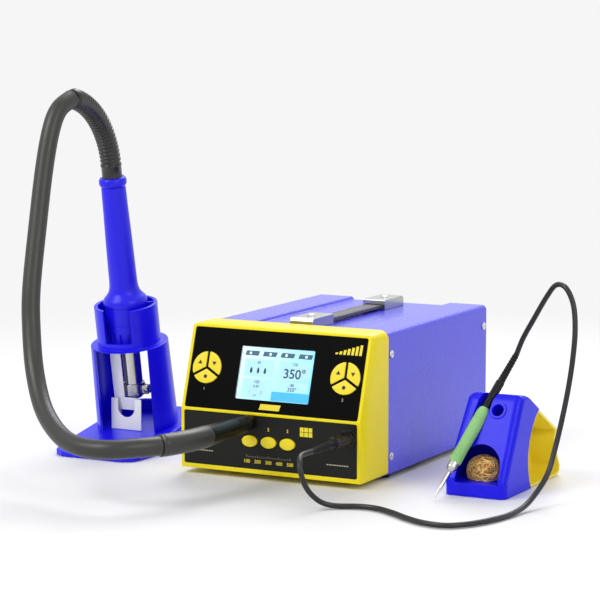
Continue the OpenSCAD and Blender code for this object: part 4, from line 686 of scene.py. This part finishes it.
def eased_copy(node, width, finish_used, segments=2, angle=28.0, body="station", name=None):
    """A copy of a solid with its doubles merged and its flat faces joined, whose edges sharper than the
    angle, in degrees, are rounded to the width, in millimetres, by a Bevel."""
    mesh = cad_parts[node].data.copy()
    mesh.name = name or node + "_skin"
    work = bmesh.new()
    work.from_mesh(mesh)
    bmesh.ops.remove_doubles(work, verts=work.verts, dist=3e-6)
    bmesh.ops.dissolve_limit(work, angle_limit=math.radians(0.4), verts=work.verts, edges=work.edges)
    work.to_mesh(mesh)
    work.free()
    piece = dressed(mesh, finish_used, body, node, angle)
    for kind, settings in (
            ("BEVEL", {"width": width / 1000, "segments": segments, "limit_method": "ANGLE",
                       "angle_limit": math.radians(angle), "use_clamp_overlap": False, "miter_outer": "MITER_ARC"}),
            ("WEIGHTED_NORMAL", {"mode": "FACE_AREA", "weight": 100, "keep_sharp": True})):
        modifier = piece.modifiers.new(kind.lower(), kind)
        for setting, value in settings.items():
            setattr(modifier, setting, value)


eased_copy("cradle_foot", 0.9, stand_blue, 3)
eased_copy("cradle_shell", 0.5, stand_blue, 3)
guard_steel = finish("guard_steel", (0.95, 0.95, 0.94), 0.38, grain=0.0012, depth=0.004, mottle=0.06, spread=0.1,
                     metal=0.35, brushing=0.12)
eased_copy("heat_shield", 0.2, guard_steel)

# SOLDERING IRON
# A plated tip cartridge in a turned aluminium nose, a soft green grip with
# shallow rings at its neck, and a black tail that tapers into the cable.
iron_axes = axis_frame(iron_tip, iron_way, (math.cos(iron_turn) * math.cos(iron_lean),
                                            math.sin(iron_turn) * math.cos(iron_lean), -math.sin(iron_lean)))
tip_steel = finish("tip_steel", (0.80, 0.79, 0.77), 0.24, grain=0.0004, depth=0.002, mottle=0.25, spread=0.2,
                   metal=1.0, brushing=0.1)
tip_profile = rounded_corners([(0, 0.1), (0.3, 0.1), (1.4, 11), (1.7, 12), (1.9, 16), (1.9, 30.5), (0, 30.5)], 0.6)
cartridge_profile = np.vstack([tip_profile[:-1], [(1.9, 30.6), (1.9, 69.8), (1.5, 70), (0, 70)]])
skin("iron_cartridge", turned_mesh(cartridge_profile, iron_axes, 48), tip_steel, "tip_cartridge")
iron_angles = np.linspace(0, 2 * np.pi, 97)
nose_profile = rounded_corners([(2.0, 31.2), (2.7, 31.0), (4.4, 34.6), (4.6, 35.6), (4.6, 47.8), (2.0, 47.8)], 0.5)
skin("iron_nose", swept_loop(nose_profile, iron_angles, iron_axes), stainless, "soldering_iron")


def ringed(radii, heights, low, high, blend, depth, gap, share):
    """Radii with square grooves a gap apart between two heights, which set in over the blend: the depth
    comes off where the cosine of the height is above the share."""
    rings = np.clip((heights - low) / blend, 0, 1) * np.clip((high - heights) / blend, 0, 1)
    return radii - depth * rings * (np.cos(2 * np.pi * heights / gap) > share)


grip_green = finish("grip_green", (0.555, 0.775, 0.485), 0.55, grain=0.0009, depth=0.05, mottle=0.12, spread=0.15)
grip_heights = np.linspace(40.0, 100.0, 361)
grip_radii = np.interp(grip_heights, [40, 40.6, 43, 60, 84, 95, 99.2, 100],
                       [4.75, 5.2, 5.8, 5.5, 5.98, 5.9, 4.9, 4.2])
grip_radii = ringed(grip_radii, grip_heights, 44, 58.5, 1.2, 0.32, 2.4, 0.1)
grip_radii = ringed(grip_radii, grip_heights, 87, 93, 0.4, 0.22, 3.0, 0.4)
grip_profile = np.vstack([np.column_stack([grip_radii, grip_heights]),
                          [(3.6, 100.0), (3.6, 84.0), (1.98, 84.0), (1.98, 48.2), (4.65, 48.1), (4.65, 40.0)]])
skin("iron_grip", swept_loop(grip_profile, iron_angles, iron_axes), grip_green, "soldering_iron", 50)
tail_heights = np.linspace(131.5, 160.5, 176)
tail_ribs = np.cos(2 * np.pi * tail_heights / 3.2) > 0.25
tail_radii = np.interp(tail_heights, [131.5, 162], [3.45, 2.8]) - 0.4 * tail_ribs
tail_profile = np.vstack([
    rounded_corners([(0, 84.2), (3.5, 84.2), (3.5, 99.9), (3.55, 100.1), (4.0, 101.2), (4.0, 108.6), (3.7, 109.2),
                     (3.7, 110.0), (4.0, 110.6), (4.0, 129.6), (3.5, 131.0)], 0.4),
    np.column_stack([tail_radii, tail_heights]), [(2.75, 161.2), (2.42, 162.0), (0, 162.0)]])
skin("iron_tail", turned_mesh(tail_profile, iron_axes, 72), rubber_black, "soldering_iron", 45)

# IRON STAND
# A hollow blue moulding with an arch for the tip wool and a raised holder
# ring, screwed to a yellow bracket that curves down behind it.
stand_plastic = finish("stand_plastic", (0.08, 0.055, 0.92), 0.34, grain=0.0009, depth=0.012, mottle=0.06,
                       spread=0.1, coat=0.04, gloss=0.22)
stand_yellow = finish("stand_yellow", (0.97, 0.89, 0.24), 0.34, grain=0.0009, depth=0.012, mottle=0.07,
                      spread=0.1, coat=0.1)
eased_copy("iron_stand_body", 0.35, stand_plastic, angle=34, name="iron_stand_skin")
eased_copy("iron_stand_bracket", 0.5, stand_yellow, name="iron_bracket_skin")

# BRASS WOOL
# One nest of curled brass shavings: flat ribbons wound in loops of many
# sizes about random axes, packed into a low ball inside the arch.
wool_middle, wool_radius, wool_floor = np.array([194.0, -9.0, 19.0]), 15.6, -6.3
wool_stretch = np.array([1.1, 0.95, 1.0])
wool_random = np.random.default_rng(7)
wool_brass = finish("wool_brass", (0.97, 0.82, 0.53), 0.42, grain=0.0005, depth=0.004, mottle=0.25, spread=0.25,
                    metal=0.3)


def shaving(turns, per_turn):
    """A coil whose centre drifts: each turn is a circle of its own tilt and size, met smoothly, kept
    inside the ball, and above the shelf by flattening what is below it."""
    s = np.arange(turns * per_turn) / per_turn

    def drift(low, high):
        return np.interp(s, np.arange(turns + 2), wool_random.uniform(low, high, turns + 2))

    tilt = np.stack([drift(-1, 1) for _ in range(3)], -1)
    centre = np.stack([drift(-0.75, 0.75) for _ in range(3)], -1) * wool_radius
    size = drift(0.22, 0.52)[:, None] * wool_radius
    first = unit(np.cross(tilt, (0.3, 0.5, 0.8)))
    second = unit(np.cross(tilt, first))
    angle = 2 * np.pi * s[:, None]
    line = centre + size * (np.cos(angle) * first + np.sin(angle) * second)
    line += 0.28 * np.sin(7 * angle) * np.cross(first, second)
    reach = np.linalg.norm(line, axis=1)[:, None]
    line = line * np.minimum(1, (wool_radius - 0.7) / np.maximum(reach, 1e-6)) * wool_stretch
    line[:, 2] = np.maximum(line[:, 2], wool_floor)
    return line + wool_middle


def ribbon_mesh(line, wide, thick):
    """A flat strip with a lens-shaped section of four corners carried along the line."""
    heading, side, other = headings_and_sides(line)
    corners = np.array([(wide / 2, 0), (0, thick / 2), (-wide / 2, 0), (0, -thick / 2)])
    points = line[:, None] + corners[None, :, :1] * side[:, None] + corners[None, :, 1:] * other[:, None]
    return placed(points.reshape(-1, 3)), closed_faces(len(line), 4)


shavings = [ribbon_mesh(shaving(8, 30), wool_random.uniform(0.55, 0.9), 0.2) for _ in range(92)]
skin("brass_wool", joined(*shavings), wool_brass, crease=80)

# CASE AND BEZEL
# A folded steel cover with a violet powder coat, closed in front by one yellow
# ABS moulding with a sloped and an upright face.
violet_paint = finish("violet_paint", (0.255, 0.24, 0.91), 0.27, mottle=0.05, spread=0.08, coat=0.2)
yellow_plastic = finish("yellow_plastic", (0.975, 0.895, 0.06), 0.3, grain=0.0007, depth=0.010, mottle=0.04,
                        spread=0.08, coat=0.06, gloss=0.25)
case_half, case_low, case_high, case_deep, sheet, step_half, step_drop = 94.0, 5.0, 136.0, 224.0, 1.5, 52.0, 3.0


def cover_side(inset):
    """The cover's section from its left foot over the top to its right foot: straight sides, a quarter
    round at each long edge, and a channel with sloped sides along the middle; drawn in by the inset."""
    half, high, turn_in = case_half - inset, case_high - inset, 5.0 - 0.6 * inset
    low_x, low_z = step_half + inset, case_high - step_drop - inset
    high_x = low_x + step_drop * (high - low_z) / (case_high + 1 - low_z)
    a = np.linspace(0, np.pi / 2, 9)
    edge = np.column_stack([-half + turn_in * (1 - np.cos(a)), high - turn_in * (1 - np.sin(a))])
    step = rounded_corners([(-high_x - 4, high), (-high_x, high), (-low_x, low_z), (-low_x + 4, low_z)], 1.0)
    left = np.concatenate([[(-half, case_low)], edge, step])
    return np.concatenate([left, left[::-1] * [-1, 1]])


cover_loop = np.concatenate([cover_side(0), cover_side(sheet)[::-1]])
loop_heading = unit(np.roll(cover_loop, -1, axis=0) - np.roll(cover_loop, 1, axis=0))
cover_ease = 0.25
eased_loop = cover_loop + cover_ease * np.column_stack([loop_heading[:, 1], -loop_heading[:, 0]])
cover_rings = [np.column_stack([line[:, 0], np.full(len(line), y), line[:, 1]])
               for y, line in ((0.02, eased_loop), (cover_ease, cover_loop), (case_deep - cover_ease, cover_loop),
                               (case_deep, eased_loop))]
skin("case_cover", (placed(np.concatenate(cover_rings)), closed_faces(4, len(cover_loop))), violet_paint,
     crease=30)
eased_copy("front_bezel", 0.4, yellow_plastic, angle=34)
upright = axis_frame((0, 0, 0), (0, 0, 1))
lip_half, lip_front, lip_rear, lip_low, lip_high = 53.5, -2.3, -0.15, 132.4, 136.3
lip = block_mesh((-lip_half, lip_front, lip_low), (lip_half, lip_rear, lip_high), upright, round_off=0.2)
add_piece("bezel_lip", lip, yellow_plastic)
keep_solid("chassis_tray", finish("zinc_sheet", (0.66, 0.67, 0.69), 0.42, grain=0.003, depth=0.006, mottle=0.25,
                                  spread=0.25, metal=1.0))
keep_solid("rear_panel", finish("rear_paint", (0.30, 0.285, 0.91), 0.36, mottle=0.05, spread=0.1))

# FEET AND SCREWS
# Four turned rubber feet under the tray, and eight chromed pan heads with a
# pressed cross that hold the cover's sides.
foot_profile = rounded_corners([(0, 0.02), (6.2, 0.02), (7.3, 1.3), (7.5, 2.2), (7.5, 4.95), (0, 4.95)], 0.6)
feet = [turned_mesh(foot_profile, axis_frame((x, y, 0), (0, 0, 1)), 64) for x in (-82, 82) for y in (14, 202)]
skin("rubber_feet", joined(*feet), rubber_black)
chrome = finish("chrome", (0.86, 0.86, 0.87), 0.12, grain=0.0006, depth=0.002, mottle=0.06, spread=0.1, metal=1.0)
side_screws = [cross_screw((s * case_half, y, z), (s, 0, 0), 3.7, 2.2, side=(0, 1, 0))
               for s in (-1, 1) for y in (5.5, 216.0) for z in (21.0, 116.0)]
skin("case_screws", joined(*side_screws), chrome, crease=30)

# CARRYING HANDLE
# Two cast and chromed brackets, each held on the lid by a pan head, joined by
# a spring steel strap in grey plastic that slides 3 mm each way in them.
bracket_chrome = finish("bracket_chrome", (0.70, 0.71, 0.71), 0.2, grain=0.0012, depth=0.012, mottle=0.15,
                        spread=0.15, metal=1.0)
strap_plastic = finish("strap_plastic", (0.30, 0.30, 0.33), 0.38, mottle=0.1)
for bracket_node in ("handle_front_bracket", "handle_rear_bracket"):
    eased_copy(bracket_node, 0.35, bracket_chrome)
eased_copy("handle_strap", 0.35, strap_plastic, body="carrying_strap")
lid_screws = [cross_screw((0, y, 143.0), (0, 0, 1), 3.6, 1.7, shank=0.3) for y in (28.0, 186.0)]
skin("handle_screws", joined(*lid_screws), chrome, crease=30)

# PANELS, KEYS AND BUTTONS
# Black and grey polycarbonate overlays with pad printed marks.  The keys are
# crowned petals and the buttons crowned ovals, in moulded yellow.
panel_lean = math.radians(17.7)
slope_axes = axis_frame((0, bezel_face_y, 61.0), (0, -math.cos(panel_lean), math.sin(panel_lean)))
front_axes = axis_frame((0, bezel_face_y, 0), (0, -1, 0))
keep_solid("upper_panel", finish("black_overlay", (0.022, 0.022, 0.025), 0.34, grain=0.0005, depth=0.004,
                                 mottle=0.3, spread=0.2, gloss=0.04))
keep_solid("lower_panel", finish("grey_overlay", (0.13, 0.13, 0.125), 0.42, grain=0.0005, depth=0.01, mottle=0.15,
                                 spread=0.2, gloss=0.14))
key_yellow = finish("key_yellow", (0.97, 0.88, 0.12), 0.34, grain=0.0005, depth=0.006, mottle=0.05, spread=0.1)
print_black = finish("print_black", (0.07, 0.06, 0.05), 0.5, grain=0.0004, depth=0.002)
print_yellow = finish("print_yellow", (0.96, 0.88, 0.16), 0.45, grain=0.0004, depth=0.002)
print_pale = finish("print_pale", (0.80, 0.78, 0.66), 0.45, grain=0.0004, depth=0.002)


def crowned_pad(outline, low, rim, crown, axes, edge):
    """A closed outline raised to a rim whose edge is a quarter circle, then domed: toward its middle the
    outline shrinks by s and the height is the rim plus the crown times 1 - s squared."""
    middle = outline.mean(axis=0)
    edge_share = edge / np.linalg.norm(outline - middle, axis=1).mean()
    turn, inner = np.linspace(0, np.pi / 2, 6), np.linspace(1, 0.04, 9)[1:]
    shrink = np.concatenate([[1.0], 1 - edge_share * (1 - np.cos(turn)), (1 - edge_share) * inner])
    height = np.concatenate([[low], rim - edge * (1 - np.sin(turn)), rim + crown * (1 - inner ** 2)])
    points = np.concatenate([np.column_stack([middle + (outline - middle) * s, np.full(len(outline), z)])
                             for s, z in zip(shrink, height)])
    return in_frame(points, axes), closed_faces(len(shrink), len(outline))


def petal_outline(turn):
    """A third of a disc: two straight sides from a tip set back by the gap, met by an arc."""
    radius, gap = 14.95, 2.4
    tip = gap / 2 / math.sin(math.radians(60))
    side = -tip / 2 + math.sqrt(radius**2 - 0.75 * tip**2)
    reach = math.atan2(side * math.sin(math.radians(60)), tip + side * math.cos(math.radians(60)))
    arc = [(radius * math.cos(a), radius * math.sin(a)) for a in np.linspace(-reach, reach, 25)]
    line = rounded_corners([(tip, 0.0)] + arc + [(tip, 0.0)], 0.9, 4)[:-1]
    line[0, 0] += 0.02
    return turned_line(line, turn)


def print_mark(name, outlines, axes, height, ink, thick=0.05, body="station"):
    """Pad printing: closed outlines raised by the thickness of the ink, with a rim of half of it at most."""
    marks = [raised_pad(line, height, height + thick, axes, min(0.01, thick / 2), 2) for line in outlines]
    add_piece(name, joined(*marks), ink, body)


def bar(x0, y0, x1, y1, slant=0.0):
    """A four-cornered bar whose upper side is moved along by the slant."""
    return [(x0, y0), (x1, y0), (x1 + slant, y1), (x0 + slant, y1)]


keys_out, keys_up, key_top, mark_out, arrow_half = 71.7, 39.5, 0.6, 8.6, 2.3
for key_side, key_x in (("air", -keys_out), ("heat", keys_out)):
    for key_word, key_degrees, arrow_way in (("up", 150, 1), ("down", 30, -1), ("set", 270, 0)):
        key_turn = math.radians(key_degrees)
        key_name = f"{key_side}_{key_word}"
        key_mesh = crowned_pad(petal_outline(key_turn) + [key_x, keys_up], -3.3, key_top - 0.15, 0.15, slope_axes,
                               0.45)
        add_piece(f"{key_name}_cap", key_mesh, key_yellow, key_name, f"{key_name}_key", 50)
        mark_x, mark_y = key_x + mark_out * math.cos(key_turn), keys_up + mark_out * math.sin(key_turn)
        arrow = [(mark_x + arrow_half * arrow_way * x, mark_y + arrow_half * arrow_way * y)
                 for x, y in ((-1, -0.6), (1, -0.6), (0, 1))]
        symbol = arrow if arrow_way else oval(mark_x, mark_y, 1.8, 1.8, 24)
        print_mark(f"{key_name}_mark", [symbol], slope_axes, key_top - 0.05, print_black, 0.08,
                   key_name)
buttons_up, button_half_w, button_half_h = 35.5, 7.8, 5.4
for button_number, button_x in ((1, -20.3), (2, -0.7), (3, 18.9)):
    button_line = oval(button_x, buttons_up, button_half_w, button_half_h, 72)
    button_mesh = crowned_pad(button_line, -3.2, 1.25, 0.5, front_axes, 0.8)
    button_name = f"channel_{button_number}"
    add_piece(f"{button_name}_cap", button_mesh, key_yellow, button_name,
              f"{button_name}_button", 60)


def figures(name, text, height, middle, axes, lift, ink, thick=0.04, weight=0.0):
    """Plain numbers: the outline letters of the built-in face, made a mesh whose front, rim and back
    share their points, scaled to the cap height and set down in the leaning frame."""
    letters = bpy.data.curves.new(name, "FONT")
    letters.body = text
    letters.align_x, letters.align_y = "CENTER", "CENTER"
    letters.size = height / 0.7
    letters.extrude = thick / 2
    letters.offset = weight
    letters.resolution_u = 6
    holder = bpy.data.objects.new(name, letters)
    bpy.context.scene.collection.objects.link(holder)
    shaped = bpy.data.meshes.new_from_object(holder.evaluated_get(bpy.context.evaluated_depsgraph_get()))
    bpy.data.objects.remove(holder)
    bpy.data.curves.remove(letters)
    work = bmesh.new()
    work.from_mesh(shaped)
    bmesh.ops.remove_doubles(work, verts=work.verts, dist=1e-5)
    bmesh.ops.recalc_face_normals(work, faces=work.faces)
    work.to_mesh(shaped)
    work.free()
    flat = np.zeros(len(shaped.vertices) * 3, np.float32)
    shaped.vertices.foreach_get("co", flat)
    faces = [list(p.vertices) for p in shaped.polygons]
    bpy.data.meshes.remove(shaped)
    points = flat.reshape(-1, 3) + [middle[0], middle[1], lift + thick / 2]
    add_piece(name, (in_frame(points, axes), faces), ink)


overlay_top = -0.3
scale_left, scale_gap, tick_half = -23.4, 11.2, 0.12
print_mark("level_bars", [bar(58 + 4 * i, 61.0, 60.6 + 4 * i, 62.6 + 1.35 * i, 0.5) for i in range(7)],
           slope_axes, overlay_top, print_yellow)
print_mark("front_tag", [bar(-11.7, 4.4, 9.2, 9.8, 1.2)], slope_axes, overlay_top, print_yellow)
for label_name, label_text, label_x in (("air_label", "1", -keys_out), ("heat_label", "2", keys_out)):
    figures(label_name, label_text, 2.6, (label_x, 19.6), slope_axes, overlay_top, print_pale)
for label_text, label_x in (("1", -20.4), ("2", -0.9), ("3", 18.8)):
    figures(f"channel_{label_text}_label", label_text, 3.0, (label_x, 47.4), front_axes, overlay_top, print_yellow,
            weight=0.05)
print_mark("key_pad_icon", [bar(31.7 + 4.4 * i, 44.0 + 4.5 * j, 35.5 + 4.4 * i, 48.0 + 4.5 * j)
                            for i in range(3) for j in range(2)], front_axes, overlay_top, print_yellow)
for scale_index, scale_number in enumerate(("100", "200", "300", "400", "500")):
    figures(f"scale_{scale_number}", scale_number, 3.2, (scale_left + scale_gap * scale_index, 16.6), front_axes,
            overlay_top, print_yellow, weight=0.06)
scale_ticks = [bar(x - tick_half, 20.4, x + tick_half, 22.6 if i % 5 == 0 else 21.6)
               for i, x in enumerate(scale_left + scale_gap / 5 * np.arange(21))]
outlet_dashes, socket_dashes = ([bar(x, z, x + 1.7, z + 0.9) for x in start + 2.5 * np.arange(9)]
                                for start, z in ((-81.0, 22.3), (59.0, 20.3)))
for mark_name, mark_lines in (("scale_ticks", scale_ticks), ("outlet_dashes", outlet_dashes),
                              ("socket_dashes", socket_dashes)):
    print_mark(mark_name, mark_lines, front_axes, overlay_top, print_pale)

# DISPLAY
# A lit colour display under a clear window: a pale blue page, four dark tabs,
# grey-blue fields, plain numbers and a bright block at the lower right.
keep_solid("display_module", finish("module_grey", (0.2, 0.2, 0.22), 0.5))
screen_middle, screen_half_w, screen_half_h = 37.7, 37.5, 24.5
page_height = -2.27


def on_screen(u, v):
    """A place on the picture, from 0 to 1 across and down, in the sloped face's millimetres."""
    return (-screen_half_w + 2 * screen_half_w * u, screen_middle + screen_half_h - 2 * screen_half_h * v)


def screen_box(u0, v0, u1, v1, slant=0.0, corner=0.5):
    """A box on the picture with eased corners, drawn from its lower left and leaning by the slant."""
    (x0, y1), (x1, y0) = on_screen(u0, v0), on_screen(u1, v1)
    line = box_line(x0, y0, x1, y1, corner)[:-1]
    return np.column_stack([line[:, 0] + slant * (line[:, 1] - y0) / (y1 - y0), line[:, 1]])


def lit(name, display, strength, fade_to=None):
    """A lit picture colour: the same colour reflects a little and shines; with fade_to it blends to a
    second colour across the picture, by the flow attribute's place."""
    colour = light_value(*display)
    material, tree, shader = shaded(name, {"Roughness": 0.5, "Emission Strength": strength, "Base Color": colour,
                                           "Emission Color": colour})
    if fade_to:
        flow = add_node(tree, "Attribute", attribute_name="flow").outputs["Vector"]
        part = add_node(tree, "SeparateXYZ", (flow,)).outputs
        across = maths(tree, "MULTIPLY_ADD", part["X"], 0.75, maths(tree, "MULTIPLY", part["Y"], 0.3))
        ramp = add_node(tree, "ValToRGB", (across,))
        ramp.color_ramp.elements[0].color = colour
        ramp.color_ramp.elements[1].color = light_value(*fade_to)
        for socket in ("Base Color", "Emission Color"):
            tree.links.new(ramp.outputs["Color"], shader.inputs[socket])
    return material


def drop_outline(u, v, wide, tall):
    """A drop: its half width swells as the root of the sine of the height and closes at both ends."""
    x, y = on_screen(u, v)
    t = np.linspace(0, 2 * np.pi, 28, endpoint=False)
    return np.column_stack([x + wide * np.sin(t) * (0.75 - 0.25 * np.cos(t)), y + tall * np.cos(t)])[::-1]


page_corners = np.array([(0, 1), (1, 1), (1, 0), (0, 0)], float)
page_mesh = raised_pad([on_screen(u, v) for u, v in page_corners], page_height - 0.02, page_height, slope_axes,
                       0.002, 2)
add_piece("screen_page", (*page_mesh, np.tile(page_corners, (3, 1))),
          lit("page_blue", (0.86, 0.95, 0.99), 0.62, (0.45, 0.86, 0.98)))
screen_ink = lit("screen_ink", (0.06, 0.17, 0.22), 0.35)
for mark_name, mark_ink, mark_lift, mark_thick, mark_lines in (
        ("screen_fields", lit("field_blue", (0.66, 0.86, 0.93), 0.6), 0.005, 0.01,
         [screen_box(0.06, 0.23, 0.46, 0.56), screen_box(0.06, 0.60, 0.46, 0.96),
          screen_box(0.53, 0.23, 0.965, 0.585), screen_box(0.53, 0.61, 0.965, 0.8)]),
        ("screen_tabs", lit("tab_teal", (0.07, 0.33, 0.42), 0.5), 0.005, 0.012,
         [screen_box(u, 0.075, u + 0.185, 0.165, 1.2, 0.3) for u in (0.04, 0.285, 0.53, 0.775)]),
        ("screen_block", lit("block_blue", (0.16, 0.70, 0.92), 0.6), 0.005, 0.014,
         [screen_box(0.475, 0.815, 0.99, 0.99, 0.0, 0.3)]),
        ("screen_lights", lit("tab_white", (0.93, 0.98, 1.0), 0.6), 0.018, 0.006,
         [oval(*on_screen(u, 0.12), 1.25, 1.25, 16) for u in (0.115, 0.39, 0.61, 0.885)]),
        ("screen_drops", screen_ink, 0.02, 0.012, [drop_outline(u, 0.44, 1.75, 2.9) for u in (0.155, 0.25, 0.345)])):
    print_mark(mark_name, mark_lines, slope_axes, page_height + mark_lift, mark_ink, mark_thick)
for ink_name, ink_text, ink_height, ink_u, ink_v, ink_weight in (
        ("heat_number", "350°", 8.6, 0.755, 0.47, 0.2), ("heat_small", "120", 2.9, 0.745, 0.285, 0.05),
        ("air_small", "60", 2.7, 0.25, 0.29, 0.05), ("set_number", "350°", 3.6, 0.745, 0.76, 0.08),
        ("set_small", "80", 2.6, 0.745, 0.675, 0.05), ("air_number", "100", 3.0, 0.25, 0.66, 0.06),
        ("timer", "0:30", 2.4, 0.25, 0.745, 0.04), ("left_count", "1", 2.6, 0.17, 0.855, 0.03),
        ("right_count", "2", 2.6, 0.33, 0.855, 0.03), ("foot", "00", 1.8, 0.25, 0.92, 0.02)):
    figures(f"screen_{ink_name}", ink_text, ink_height, on_screen(ink_u, ink_v), slope_axes, page_height + 0.02,
            screen_ink, 0.012, ink_weight)
keep_solid("display_window", shaded("window_glass", {
    "Base Color": (1.0, 1.0, 1.0, 1.0), "Roughness": 0.03, "IOR": 1.46, "Transmission Weight": 1.0})[0])

# REAR FITTINGS
# Black glass-filled nylon inlet with three nickelled pins, a fuse cap, a red
# rocker in its frame and an axial fan behind the pierced panel.
black_plastic = finish("black_plastic", (0.09, 0.09, 0.095), 0.42, grain=0.0006, mottle=0.15, spread=0.15)
for fitting_node, fitting_ease in (("mains_inlet", 0.3), ("fuse_holder", 0.3), ("rocker_frame", 0.25)):
    eased_copy(fitting_node, fitting_ease, black_plastic)
rocker_red = finish("rocker_red", (0.78, 0.09, 0.07), 0.25, grain=0.0006, depth=0.005, mottle=0.05, coat=0.3)
eased_copy("power_rocker", 0.3, rocker_red, body="mains_rocker")
eased_copy("iron_socket", 0.25, black_plastic)
pin_axes = axis_frame((-58.0, 221.0, 39.0), (0, 1, 0), (-1, 0, 0))
pin_half_w, pin_half_h = 2.05, 1.05
inlet_pins = [block_mesh((x - pin_half_w, y - pin_half_h, -14.4), (x + pin_half_w, y + pin_half_h, -1.4), pin_axes,
                         round_off=0.4) for x, y in ((-7, -2), (0, 2), (7, -2))]
add_piece("inlet_pins", joined(*inlet_pins), chrome)

# FAN AND WHAT IS INSIDE THE CASE
# Fan, boards, transformer, blower and air neck: each keeps its solid and takes
# the finish of its stuff, from solder mask to nickelled steel.
for inner_nodes, inner_finish in (
        (("fan_frame", "fan_rotor"), finish("fan_black", (0.075, 0.075, 0.08), 0.5, grain=0.0006, mottle=0.15)),
        (("key_board", "main_board"), finish("circuit_green", (0.09, 0.36, 0.18), 0.4, grain=0.001, mottle=0.3)),
        (("transformer",), finish("core_steel", (0.42, 0.40, 0.37), 0.5, grain=0.001, mottle=0.25, metal=0.6)),
        (("blower_housing",), black_plastic),
        (("blower_motor",), finish("motor_steel", (0.68, 0.68, 0.70), 0.35, mottle=0.15, metal=1.0)),
        (("blower_impeller",), finish("impeller_white", (0.86, 0.86, 0.87), 0.4, mottle=0.05)),
        (("hose_socket",), finish("neck_metal", (0.62, 0.62, 0.63), 0.3, mottle=0.12, metal=1.0))):
    for inner_node in inner_nodes:
        keep_solid(inner_node, inner_finish)
